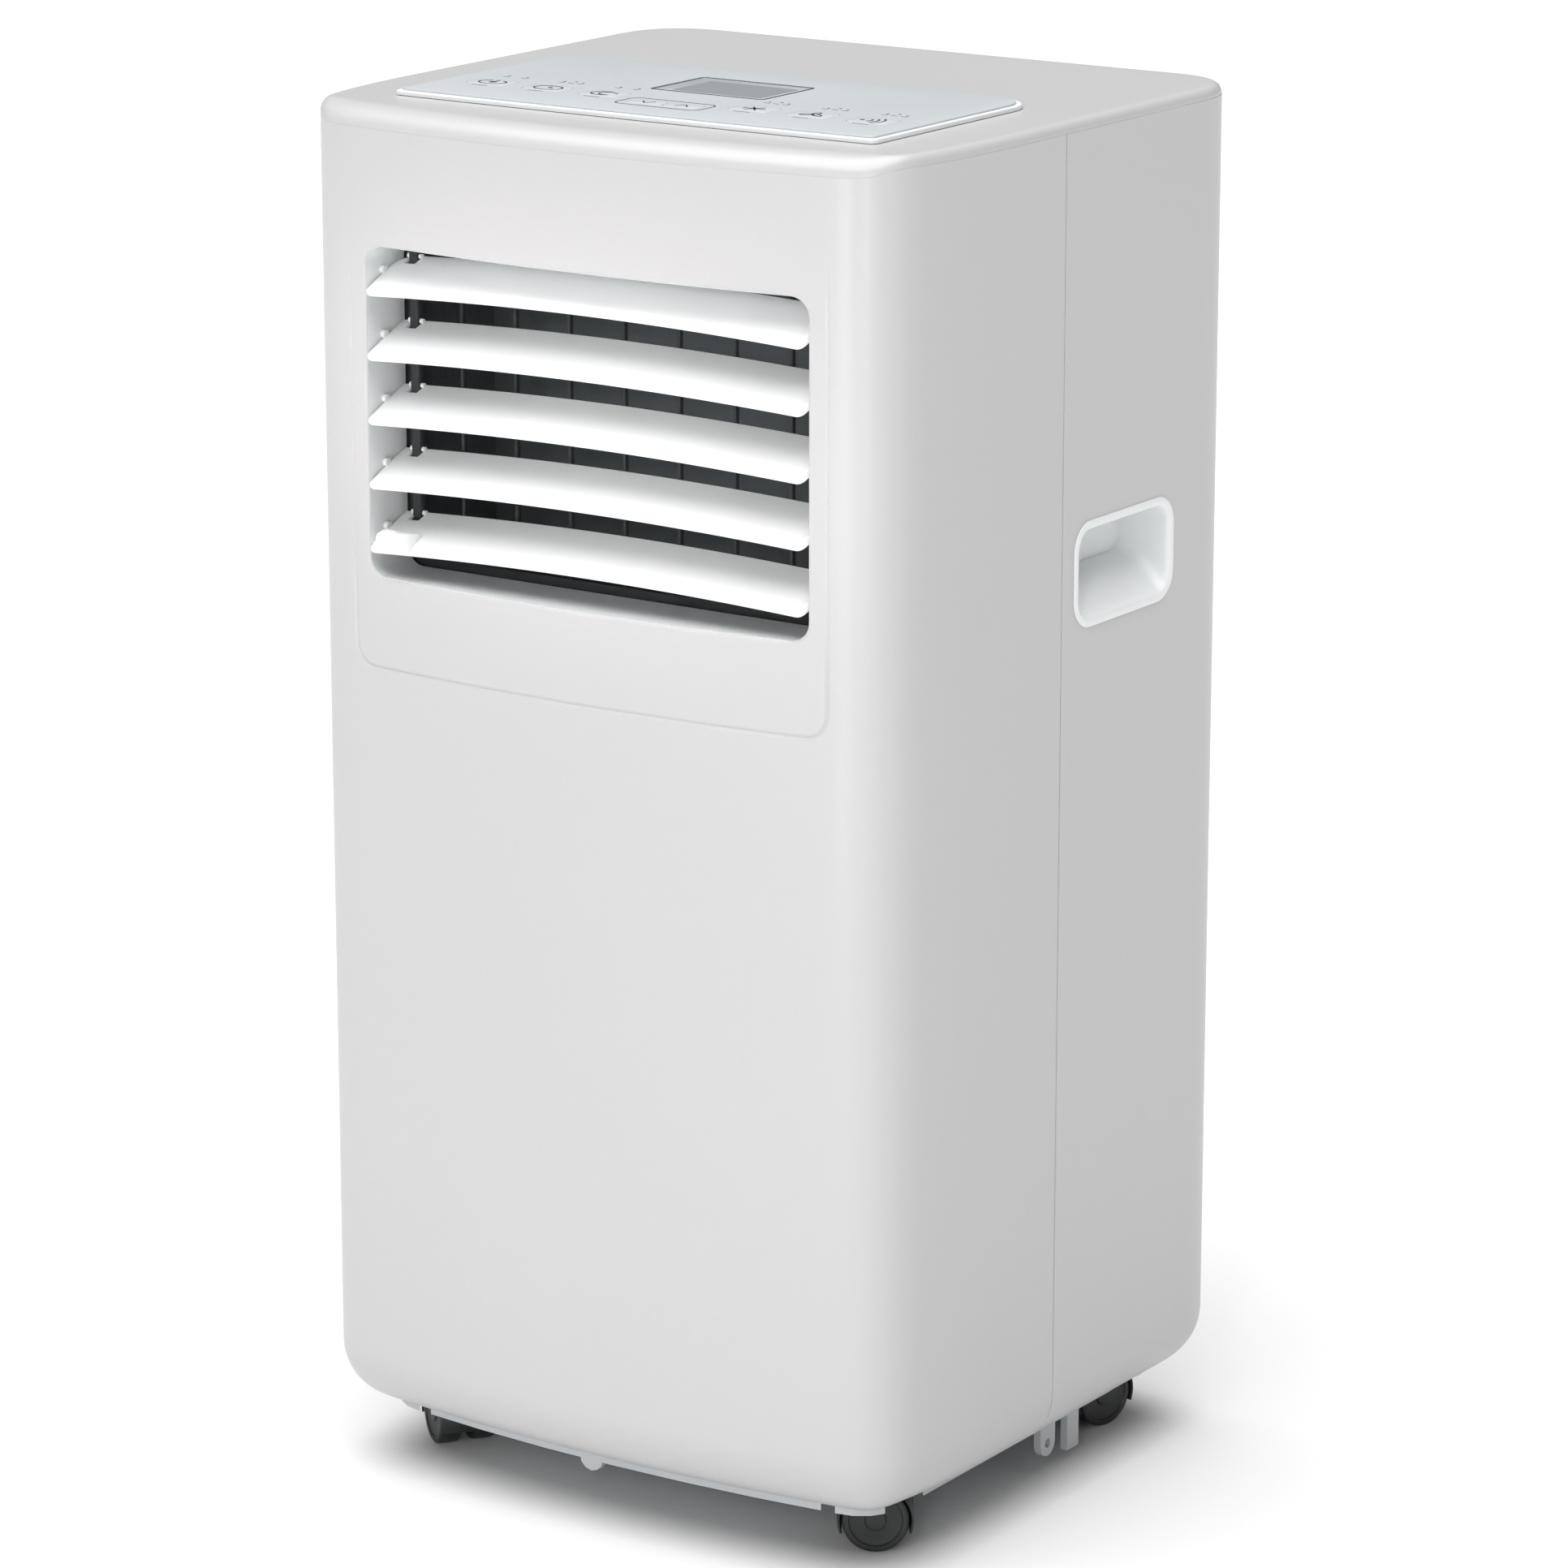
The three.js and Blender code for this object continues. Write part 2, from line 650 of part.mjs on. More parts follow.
// ---------------------------------------------------------------- blowers
const hotWheel = {
  x: halfW - 126,
  z: 168,
  radius: 62,
  wheel: [-14, 38],
  volute: [-20, 46],
  motor: [-70, -20.4],
  motorR: 36,
  throatWidth: 74,
};
const coldWheel = {
  x: 10,
  z: windowLow - 82,
  radius: 66,
  wheel: [-116, -68],
  volute: [-122, -60],
  motor: [-150, -122.4],
  motorR: 34,
  throatWidth: 78,
};
const runningGap = 5; // between a wheel and the scroll's round part

// The upward outlet of a blower's scroll, left and right.
const blowerThroat = ({ x, radius, throatWidth }) => {
  const right = x + radius + scrollFar;
  return [right - throatWidth, right];
};

// A forward-curved centrifugal wheel with its shaft, which runs forward into the motor.
function blowerWheel({ x, z, radius, wheel, motor }) {
  const blades = 9;
  const bladeChord = 12;
  const [front, rear] = wheel;
  const bladeAt = (angle) => {
    const blade = new THREE.BoxGeometry(bladeChord, rear - front - 1, 1.4);
    blade.rotateY(0.6).translate(radius - 7, 0, 0).rotateY(angle);
    return solid(blade.translate(x, (front + rear) / 2, z));
  };
  const ring = cut(
    drum("y", [x, z], radius, [rear - 3, rear], 24),
    drum("y", [x, z], radius - bladeChord, [rear - 4, rear + 1], 24),
  );
  const disc = drum("y", [x, z], radius, [front, front + 2], 24);
  const hub = drum("y", [x, z], 9, [front, front + 18], 10);
  const shaft = drum("y", [x, z], shaftR, [motor[1] - 12, front + 1], 10);
  const bladeSet = [...Array(blades).keys()].map((i) => bladeAt((i * 2 * Math.PI) / blades));
  return join(disc, hub, shaft, ring, bladeSet);
}

// The scroll round a wheel: it widens once round and ends in a throat that points up.
function scrollOutline({ x, z, radius }, grow) {
  const steps = 11;
  const shape = new THREE.Shape();
  for (let i = 0; i <= steps; i++) {
    const turn = i / steps;
    const a = Math.PI * (0.75 + 1.25 * turn);
    const r = radius + scrollNear + (scrollFar - scrollNear) * turn + grow;
    const [px, pz] = [x + r * Math.cos(a), z + r * Math.sin(a)];
    if (i === 0) shape.moveTo(px, pz);
    else shape.lineTo(px, pz);
  }
  return shape;
}

function volute(blower, throatTop) {
  const [front, rear] = blower.volute;
  const within = [front + scrollWall, rear - scrollWall];
  const [left, right] = blowerThroat(blower);
  const at = [blower.x, blower.z];
  const bodyR = blower.radius + runningGap;
  const outer = join(
    prismAlongY(scrollOutline(blower, scrollWall), [front, rear]),
    drum("y", at, bodyR + scrollWall, [front, rear], 18),
    box([left - scrollWall, right + scrollWall], [front, rear], [blower.z, throatTop]),
  );
  const inner = join(
    prismAlongY(scrollOutline(blower, 0), within),
    drum("y", at, bodyR, within, 18),
    box([left, right], within, [blower.z - 1, throatTop + 1]),
  );
  const inlet = drum("y", at, blower.radius - 12, [rear - 3, rear + 1], 20);
  const shaftHole = drum("y", at, shaftR + 3, [front - 1, front + 3], 10);
  return cut(outer, inner, inlet, shaftHole);
}

function fanMotor({ x, z, motor, motorR }) {
  const [front, rear] = motor;
  const body = drum("y", [x, z], motorR, [front + 4, rear - 2], 16);
  const caps = drum("y", [x, z], motorR - 8, [front, rear], 16);
  return cut(join(body, caps), drum("y", [x, z], shaftR + running, [rear - 13, rear + 1], 10));
}

// ---------------------------------------------------------------- cooling circuit
// A block of fins between two end plates, with the return bends of its tubes at the right.
function coil([low, high]) {
  const rows = 6;
  const block = box([-coilHalf, coilHalf], [coilFront, coilRear], [low, high]);
  const plates = [-1, 1].map((side) => {
    const x = side * (coilHalf + 1);
    const across = [x - coilPlate / 2, x + coilPlate / 2];
    return box(across, [coilFront - 2, coilRear + 2], [low - 2, high + 2]);
  });
  const bends = [];
  for (let i = 0; i < rows; i++) {
    const z = low + ((i + 0.5) * (high - low)) / rows;
    const across = [coilHalf + 1, coilHalf + 1 + bendReach];
    bends.push(box(across, [coilFront + 8, coilFront + 16], [z - 8, z + 8]));
  }
  return join(block, plates, bends);
}

const evaporatorZ = [upperGrille[0] + 2, upperGrille[1] - 4];
const condenserZ = [lowerGrille[0] + 4, lowerGrille[1] - 4];
const compressorAt = [82 - halfW, -62];

function compressor() {
  const [cx, cy] = compressorAt;
  const r = compressorR;
  const body = turned(
    [
      [0, compressorLow - 4], [r * 0.7, compressorLow - 2], [r, compressorLow + 14],
      [r, compressorHigh - 20], [r * 0.72, compressorHigh - 3], [0, compressorHigh],
    ],
    compressorAt,
  );
  const footR = 9;
  const footTop = compressorLow - 2;
  const feet = [0, 1, 2].map((i) => {
    const a = (i * 2 * Math.PI) / 3 + 0.5;
    const at = [cx + (r + 6) * Math.cos(a), cy + (r + 6) * Math.sin(a)];
    const arm = new THREE.BoxGeometry(r, 2 * footR - 2, 3);
    arm.translate(r / 2 + 6, 0, 0).rotateZ(a).translate(cx, cy, footTop - 1.5);
    return join(drum("z", at, footR, [footTop - 6, footTop], 12), solid(arm));
  });
  const terminals = box([cx - 14, cx + 14], [cy - 14, cy + 14], [compressorHigh - 4, compressorHigh + 8]);
  return join(body, feet, terminals);
}

// A copper pipe along hand-laid points.
function pipe(points, radius) {
  const path = new THREE.CatmullRomCurve3(points.map((p) => new THREE.Vector3(...p)));
  const section = new THREE.Shape();
  section.absarc(0, 0, radius, 0, 2 * Math.PI, false);
  const geometry = new THREE.ExtrudeGeometry(section, { steps: 16, extrudePath: path, curveSegments: 3 });
  return solid(geometry);
}

const suctionX = 38 - halfW; // beside the coils
const suctionY = 20;
const coilMiddle = (coilFront + coilRear) / 2;

// From the compressor's top up through the deck to the evaporator.
function suctionPipe() {
  const [cx, cy] = compressorAt;
  const coilLow = evaporatorZ[0];
  return pipe([
    [cx, cy + 42, compressorHigh + 6], [cx - 12, cy + 62, compressorHigh + 16],
    [suctionX + 2, suctionY, deckZ - 30], [suctionX, suctionY, deckZ - 5],
    [suctionX, suctionY, deckZ + 25], [suctionX, coilMiddle - 61, coilLow - 52],
    [suctionX, coilMiddle - 21, coilLow - 2], [suctionX, coilMiddle, coilLow + 18],
    [suctionX, coilMiddle, coilLow + 48],
  ], suctionR);
}

// From the compressor's top round its side to the condenser.
function dischargePipe() {
  const [cx, cy] = compressorAt;
  const coilHigh = condenserZ[1];
  return pipe([
    [cx - 26, cy + 12, compressorHigh + 8], [cx - 39, cy + 22, compressorHigh + 16],
    [suctionX - 10, cy + 62, compressorHigh + 10], [suctionX - 10, coilMiddle - 51, coilHigh - 42],
    [suctionX - 3, coilMiddle - 9, coilHigh - 52], [suctionX, coilMiddle, coilHigh - 72],
    [suctionX, coilMiddle, coilHigh - 102],
  ], dischargeR);
}

// ---------------------------------------------------------------- ducts, deck and electrics
const hotThroat = blowerThroat(hotWheel);
const chamberX = [hotThroat[0] - 142, halfW - 36];
const chamberY = [hotWheel.volute[0] - 2, coilFront - 8];
const chamberZ = [deckZ + fit, collarZ + collarR + 5];

function partitionDeck() {
  const plate = planBlock(wall + 0.8, deckZ - deckWall, deckZ);
  const through = [deckZ - deckWall - 1, deckZ + 1];
  const throatX = [hotThroat[0] - 4, hotThroat[1] + 6];
  const throatY = [hotWheel.volute[0] - 2, hotWheel.volute[1] + 2];
  const pipeHole = drum("z", [suctionX, suctionY], suctionR + 3.5, through, 12);
  return cut(plate, box(throatX, throatY, through), pipeHole);
}

// The chamber that takes the hot air from the blower's throat to the collar.
function exhaustDuct() {
  const shrink = ([a, b]) => [a + exhaustWall, b - exhaustWall];
  const outer = box(chamberX, chamberY, chamberZ);
  const inner = box(shrink(chamberX), shrink(chamberY), shrink(chamberZ));
  const intake = box(
    [hotThroat[0] - 3, hotThroat[1] + 5],
    [hotWheel.volute[0] - 1, hotWheel.volute[1] + 1],
    [deckZ - 2, deckZ + 6],
  );
  const outlet = drum("y", [collarX, collarZ], collarR - 2, [chamberY[1] - 4, chamberY[1] + 2], 24);
  return cut(outer, inner, intake, outlet);
}

function exhaustCollar() {
  const at = [collarX, collarZ];
  const rear = halfD + collarStand;
  const lipDeep = 3;
  const tube = drum("y", at, collarR, [chamberY[1] + fit, rear], 28);
  const flange = drum("y", at, collarR + flangeWidth, [halfD + fit, halfD + 2.5], 28);
  const bore = drum("y", at, collarR - collarWall, [0, rear + 1], 28);
  const lips = [0, 1, 2].map((i) => {
    const a = (i * 2 * Math.PI) / 3 + 0.4;
    const lip = new THREE.BoxGeometry(6, lipDeep, 12).translate(collarR - 5, 0, 0).rotateY(a);
    return solid(lip.translate(collarX, rear - lipDeep / 2, collarZ));
  });
  return join(cut(join(tube, flange), bore), lips);
}

// An open-backed steel box with the power board and its relays.
function electricBox() {
  const steel = 3;
  const x = [halfW - 150, halfW - 40];
  const y = [14 - halfD, 72 - halfD];
  const z = [bodyLow + 57, bodyLow + 203];
  const hollow = box([x[0] + steel, x[1] - steel], [y[0] + steel, y[1] + 1], [z[0] + steel, z[1] - steel]);
  const board = box([x[0] + 6, x[1] - 6], [y[0] + 2, y[0] + 9], [z[0] + 8, z[1] - 8]);
  const relays = [0, 1, 2].map((i) => {
    const left = x[0] + 16 + 28 * i;
    return box([left, left + 18], [y[0] + 8, y[0] + 26], [z[0] + 24, z[0] + 44]);
  });
  return join(cut(box(x, y, z), hollow), board, relays);
}

function runCapacitor() {
  const at = [halfW - 184, 38 - halfD];
  const canR = 18;
  const [low, high] = [bodyLow + 63, bodyLow + 129];
  const can = drum("z", at, canR, [low, high], 20);
  const lid = drum("z", at, canR + 1.5, [high - 4, high], 20);
  const blade = box([at[0] - 2, at[0] + 2], [at[1] - 6, at[1] + 6], [high - 1, high + 8]);
  return join(can, lid, blade);
}

// ---------------------------------------------------------------- control panel
const rowNames = ["power", "timer", "sleep", "mode", "fan_speed", "swing"];
const rowSteps = [...keySide.map((step) => -step).reverse(), ...keySide];
const pairKeyX = (pairKeyWidth + pairKeyGap) / 2;
const pairKey = { y: panelFront + pairKeySetback, w: pairKeyWidth, d: pairKeyDepth };
const keyPlaces = [
  ...rowNames.map((name, i) => ({
    name: "key_" + name,
    x: rowSteps[i] * keyPitch,
    y: panelFront + keyRowSetback,
    w: keyWidth,
    d: keyDepth,
  })),
  { name: "key_temperature_down", x: -pairKeyX, ...pairKey },
  { name: "key_temperature_up", x: pairKeyX, ...pairKey },
];

function keyOutline({ x, y, w, d }, grow) {
  const across = [x - w / 2 - grow, x + w / 2 + grow];
  return roundedRect(across, [y - d / 2 - grow, y + d / 2 + grow], 3 + grow);
}

// Square-cornered and slightly bowed at the front, with large rounded corners at the rear.
function panelOutline(shrink) {
  const w = panelHalf - shrink;
  const f = panelFront + shrink;
  const b = panelRear - shrink;
  const [r, q] = [panelRearR, panelFrontR];
  const shape = new THREE.Shape();
  shape.moveTo(-w + q, f);
  shape.quadraticCurveTo(0, f - 2 * panelBow, w - q, f);
  shape.absarc(w - q, f + q, q, -Math.PI / 2, 0, false);
  shape.lineTo(w, b - r);
  shape.absarc(w - r, b - r, r, 0, Math.PI / 2, false);
  shape.lineTo(-w + r, b);
  shape.absarc(-w + r, b - r, r, Math.PI / 2, Math.PI, false);
  shape.lineTo(-w, f + q);
  shape.absarc(-w + q, f + q, q, Math.PI, 1.5 * Math.PI, false);
  return shape;
}

function displayOutline(grow) {
  const across = [displayX[0] - grow, displayX[1] + grow];
  return roundedRect(across, [displayY[0] - grow, displayY[1] + grow], 2 + grow);
}

// A sheet with the panel's outline, and openings for the keys and the display.
function panelLayer(shrink, heights) {
  const through = [heights[0] - 1, heights[1] + 1];
  return cut(
    prism(panelOutline(shrink), heights),
    keyPlaces.map((key) => prism(keyOutline(key, keyGap), through, 1)),
    prism(displayOutline(fit), through, 1),
  );
}

const controlPlate = () => panelLayer(0, [bodyTop + fit, plateTop]);
const controlFoil = () => panelLayer(foilMargin, [plateTop + fit, foilTop]);
const displayWindow = () => prism(displayOutline(0), [bodyTop + 0.8, foilTop - 0.2], 1);

const boardTop = bodyTop - 8.4;
const switchTop = boardTop + switchHeight;

function controlBoard() {
  const inset = 16; // from the plate's edges
  const across = [inset - panelHalf, panelHalf - inset];
  const along = [panelFront + inset - 3, panelRear - inset - 4];
  const board = box(across, along, [boardTop - boardThickness, boardTop]);
  const switchHalf = 3;
  const standing = [boardTop - 0.5, switchTop];
  const switches = keyPlaces.map(({ x, y }) =>
    box([x - switchHalf, x + switchHalf], [y - switchHalf, y + switchHalf], standing),
  );
  const shrink = ([a, b]) => [a + 3, b - 3];
  const displayModule = box(shrink(displayX), shrink(displayY), [boardTop - 0.5, bodyTop]);
  return join(board, switches, displayModule);
}

// A pad level with the foil, on a stem that ends its travel over the switch.
function key(place) {
  const pad = prism(keyOutline(place, 0), [bodyTop + 1.2, foilTop + keyProud], 1);
  const stem = drum("z", [place.x, place.y], keyStemR, [switchTop + keyTravel + fit, bodyTop + 2], 8);
  return join(pad, stem);
}

// ---------------------------------------------------------------- side grips
// The fingers go in over a rising ramp and up behind the side wall.
function gripWell() {
  const outside = halfW + 1.2;
  const bezelGrow = 3;
  const block = prismAlongX(gripOutline(0), [halfW - gripDepth, outside - 0.6]);
  const bezel = prismAlongX(gripOutline(bezelGrow), [halfW + fit, outside]);
  const [low, high] = [gripZ[0] + gripWall, gripZ[1] - gripWall];
  const back = halfW - gripDepth + gripWall;
  const hollow = new THREE.Shape();
  hollow.moveTo(outside + 2, low);
  hollow.lineTo(outside + 2, high);
  hollow.lineTo(back, high);
  hollow.lineTo(back, low + 14);
  hollow.lineTo(back + 11, low + 12);
  hollow.lineTo(halfW - 4, low + 2);
  hollow.lineTo(halfW, low);
  const space = prismAlongY(hollow, [gripY[0] + gripWall, gripY[1] - gripWall]);
  return cut(join(block, bezel), space);
}

// ---------------------------------------------------------------- rear fittings
// Two columns of level slots.
function intakeGrille([low, high]) {
  const half = grilleHalf - fit;
  const plate = box([-half, half], grilleRear, [low + fit, high - fit]);
  const through = [grilleRear[0] - 1, grilleRear[1] + 1];
  const pitch = (high - low - 2 * grilleMargin) / grilleRows;
  const slotHalf = 0.3 * pitch;
  const slots = [];
  for (let i = 0; i < grilleRows; i++) {
    const z = low + grilleMargin + (i + 0.5) * pitch;
    for (const across of [[grilleMargin - half, -3], [3, half - grilleMargin]]) {
      slots.push(box(across, through, [z - slotHalf, z + slotHalf]));
    }
  }
  return cut(plate, slots);
}

// A mesh sheet in a ribbed frame, which hooks into the grille's back.
function dustFilter([low, high]) {
  const half = grilleHalf - 3;
  const rimWidth = 6;
  const rear = grilleRear[0] - fit;
  const rim = box([-half, half], [rear - 4.5, rear], [low + 3, high - 3]);
  const across = [rimWidth - half, half - rimWidth];
  const hollow = box(across, [rear - 6, rear - 1], [low + 3 + rimWidth, high - 3 - rimWidth]);
  const sheet = box([3 - half, half - 3], [rear - 1.6, rear - 0.8], [low + 6, high - 6]);
  const ribs = [-1, 0, 1].map((i) => {
    const x = (i * half * 5) / 11;
    return box([x - 2, x + 2], [rear - 4, rear], [low + 4, high - 4]);
  });
  return join(cut(rim, hollow), sheet, ribs);
}

function drainPlug([x, z]) {
  const plug = drum("y", [x, z], drainHoleR - 0.5, [halfD - 7, halfD + 2], 12);
  const head = drum("y", [x, z], drainHoleR + 3.5, [halfD + 0.4, halfD + 3.4], 12);
  const pull = box([x - 1.5, x + 1.5], [halfD + 3, halfD + 7.5], [z - 8, z + 8]);
  return join(plug, head, pull);
}

function cordGland() {
  const cordR = 4;
  const sleeve = drum("y", glandPlace, glandR - 0.4, [halfD - 7, halfD + 2], 12);
  const flange = drum("y", glandPlace, glandR + 4, [halfD + 0.4, halfD + 4], 12);
  const cordHole = drum("y", glandPlace, cordR, [halfD - 12, halfD + 6], 8);
  return cut(join(sleeve, flange), cordHole);
}

// ---------------------------------------------------------------- assembly
const cabinet = new THREE.Group();

function add(name, body, material, parent = cabinet) {
  const { vertProperties, triVerts } = body.getMesh();
  const geometry = new THREE.BufferGeometry();
  geometry.setAttribute("position", new THREE.BufferAttribute(vertProperties, 3));
  geometry.setIndex(new THREE.BufferAttribute(triVerts, 1));
  geometry.computeVertexNormals();
  const mesh = new THREE.Mesh(geometry, material);
  mesh.name = name;
  parent.add(mesh);
  return mesh;
}

add("base_tray", baseTray(), trayGrey);
add("front_casing", frontCasing(), whiteCasing);
add("rear_casing", rearCasing(), whiteCasing);
add("top_cover", topCover(), whiteCasing);

for (const { place, sx, sy, heading } of casterPlaces) {
  const caster = new THREE.Group();
  caster.position.set(sx * casterX, sy * casterY, 0);
  caster.rotation.z = THREE.MathUtils.degToRad(heading);
  add("caster_yoke_" + place, casterYoke(), darkPlastic, caster);
  add("caster_wheels_" + place, casterWheels(), darkPlastic, caster);
  cabinet.add(caster);
}

add("outlet_frame", outletFrame(), whiteTrim);
add("outlet_guard", outletGuard(), darkPlastic);
add("outlet_duct", outletDuct(), ductFoam);
for (const i of louvreIndex) {
  const lowest = i === louvreCount - 1;
  const blade = add("louvre_" + (i + 1), louvre(lowest), louvreWhite);
  blade.position.set(0, louvreAxisY, louvreAxisZ(i));
  blade.rotation.x = louvreTilt;
}
add("louvre_link", louvreLink(), louvreWhite);

add("control_plate", controlPlate(), whiteTrim);
add("control_foil", controlFoil(), foilGrey);
add("display_window", displayWindow(), lensGrey);
add("control_board", controlBoard(), boardGreen);
for (const place of keyPlaces) add(place.name, key(place), keyGrey);

const well = gripWell();
add("grip_well_right", well, whiteTrim);
add("grip_well_left", well.mirror([1, 0, 0]), whiteTrim);
add("exhaust_collar", exhaustCollar(), whiteTrim);
add("upper_intake_grille", intakeGrille(upperGrille), whiteTrim);
add("upper_dust_filter", dustFilter(upperGrille), filterGrey);
add("lower_intake_grille", intakeGrille(lowerGrille), whiteTrim);
add("lower_dust_filter", dustFilter(lowerGrille), filterGrey);
add("upper_drain_plug", drainPlug(drainPlaces.upper), rubberBlack);
add("lower_drain_plug", drainPlug(drainPlaces.lower), rubberBlack);
add("cord_gland", cordGland(), rubberBlack);

add("cold_blower_scroll", volute(coldWheel, windowLow - 3 - ductWall - fit), ductFoam);
add("cold_blower_wheel", blowerWheel(coldWheel), darkPlastic);
add("cold_fan_motor", fanMotor(coldWheel), motorSteel);
add("hot_blower_scroll", volute(hotWheel, deckZ - deckWall - fit), ductFoam);
add("hot_blower_wheel", blowerWheel(hotWheel), darkPlastic);
add("hot_fan_motor", fanMotor(hotWheel), motorSteel);
add("partition_deck", partitionDeck(), ductFoam);
add("exhaust_duct", exhaustDuct(), ductFoam);
add("evaporator_coil", coil(evaporatorZ), coilFins);
add("condenser_coil", coil(condenserZ), coilFins);
add("compressor", compressor(), compressorBlack);
add("suction_pipe", suctionPipe(), copper);
add("discharge_pipe", dischargePipe(), copper);
add("electric_box", electricBox(), motorSteel);
add("run_capacitor", runCapacitor(), capacitorWhite);

export default cabinet;
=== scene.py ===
"""Portable air conditioner: a cabinet on casters with a louvred outlet, a key panel and rear intakes."""
import json
import math

import bmesh
import bpy
from bpy.props import FloatProperty, PointerProperty, StringProperty
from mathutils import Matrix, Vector
from mathutils.bvhtree import BVHTree
from mathutils.interpolate import poly_3d_calc


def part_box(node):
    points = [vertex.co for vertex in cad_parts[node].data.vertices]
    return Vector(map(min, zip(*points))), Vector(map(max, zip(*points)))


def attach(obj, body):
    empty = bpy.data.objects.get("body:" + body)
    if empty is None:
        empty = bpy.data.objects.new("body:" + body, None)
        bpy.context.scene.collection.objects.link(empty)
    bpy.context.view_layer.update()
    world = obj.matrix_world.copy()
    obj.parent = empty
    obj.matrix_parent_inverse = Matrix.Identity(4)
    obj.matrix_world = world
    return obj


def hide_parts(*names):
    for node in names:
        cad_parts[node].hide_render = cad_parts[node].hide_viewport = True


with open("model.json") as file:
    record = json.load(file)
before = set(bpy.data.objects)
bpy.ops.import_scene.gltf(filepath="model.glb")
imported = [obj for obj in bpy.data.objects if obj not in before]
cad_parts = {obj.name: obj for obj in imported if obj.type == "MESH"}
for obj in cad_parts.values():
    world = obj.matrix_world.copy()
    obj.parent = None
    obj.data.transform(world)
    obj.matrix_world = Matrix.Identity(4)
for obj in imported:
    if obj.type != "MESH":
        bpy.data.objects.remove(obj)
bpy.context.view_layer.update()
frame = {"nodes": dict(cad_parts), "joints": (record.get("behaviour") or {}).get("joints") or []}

bl_info = {
    "name": "Portable Air Conditioner",
    "version": (1, 0, 0),
    "blender": (4, 5, 0),
    "location": "3D View > Sidebar > Air Conditioner",
    "description": "Builds the casings, louvres, key panel, casters and rear fittings round the packed frame",
    "category": "Object",
}

MM = 0.001
X, Y, Z = Vector((1, 0, 0)), Vector((0, 1, 0)), Vector((0, 0, 1))

# ---------------------------------------------------------------- places taken from the frame
FRONT_LO, FRONT_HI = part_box("front_casing")
REAR_LO, REAR_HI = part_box("rear_casing")
COVER_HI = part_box("top_cover")[1]
HALF_W = FRONT_HI.x
FRONT_Y = FRONT_LO.y
REAR_Y = REAR_HI.y
SEAM_Y = (FRONT_HI.y + REAR_LO.y) / 2
LOW_Z = FRONT_LO.z
TOP_Z = COVER_HI.z
CABINET = "cabinet"


# ---------------------------------------------------------------- user sizes and colours
def length(name, description, default):
    return FloatProperty(
        name=name, description=description, default=default, subtype="DISTANCE", unit="LENGTH",
    )


def colour(name, description, default):
    return StringProperty(name=name, description=description + ", as an sRGB hex value", default=default)


class CabinetSizes(bpy.types.PropertyGroup):
    crown_radius: length("Crown radius", "Radius of the front's gentle crown in plan", 1.03)
    corner_run: length("Corner run", "Length along the skin of the tight part of a front corner", 56 * MM)
    soft_run: length("Soft run", "Length along the skin of the gentle part behind it", 120 * MM)
    rear_run: length("Rear corner run", "Length along the skin of a rear corner", 78 * MM)
    lower_radius: length("Lower edge radius", "Rounding of the lower edge", 32 * MM)
    front_roll: length("Front top roll", "Depth of the top edge's rounding over the front", 15 * MM)
    front_drop: length("Front top drop", "Height of the top edge's rounding over the front", 10 * MM)
    side_roll: length("Side top roll", "Depth of the top edge's rounding over sides and rear", 5 * MM)
    side_drop: length("Side top drop", "Height of the top edge's rounding over sides and rear", 5.5 * MM)
    wall: length("Wall", "Thickness of the moulded walls", 2.4 * MM)
    seam_gap: length("Seam gap", "Gap between the front and the rear casing", 0.7 * MM)
    lip: length("Seam lip", "Rounding of the casings' edges at the seams", 0.9 * MM)
    recess: length("Outlet recess", "Depth of the shallow step round the outlet", 0.25 * MM)
    groove: length("Outlet groove", "Depth of the fine groove that outlines the outlet", 0.8 * MM)


class FinishColours(bpy.types.PropertyGroup):
    casing: colour("Casing", "White ABS of the casings", "#C0BFC0")
    # painted light: the louvres' white is set brighter than the casing's, standing in for the light inside
    # the outlet
    louvre: colour("Louvre", "White ABS of the louvres", "#F1F2F2")
    foil: colour("Overlay", "Grey polyester overlay on the panel", "#C1C6C9")
    ink: colour("Ink", "Printed icons", "#2E3335")
    tray: colour("Tray", "Grey polypropylene of the base tray", "#BDC0C3")
    nylon: colour("Nylon", "Black nylon of the casters", "#1D1F20")


def sizes():
    return bpy.context.scene.cabinet_sizes


def colours():
    return bpy.context.scene.finish_colours


# ---------------------------------------------------------------- mesh helpers
def ease(t):
    """A smooth step from 0 to 1."""
    t = min(max(t, 0.0), 1.0)
    return (1 - math.cos(math.pi * t)) / 2


def mix(a, b, t):
    return a + (b - a) * t


def arc(centre, radius, start, end, steps):
    """Points of an arc in a plane, both ends included; angles in degrees."""
    return [
        (centre[0] + radius * math.cos(a), centre[1] + radius * math.sin(a))
        for a in (math.radians(mix(start, end, i / steps)) for i in range(steps + 1))
    ]


def rounded_rect(x, y, r, steps=10):
    """An anticlockwise outline with round corners."""
    (x0, x1), (y0, y1) = x, y
    r = max(r, 1e-5)
    return (
        arc((x1 - r, y0 + r), r, -90, 0, steps) + arc((x1 - r, y1 - r), r, 0, 90, steps)
        + arc((x0 + r, y1 - r), r, 90, 180, steps) + arc((x0 + r, y0 + r), r, 180, 270, steps)
    )


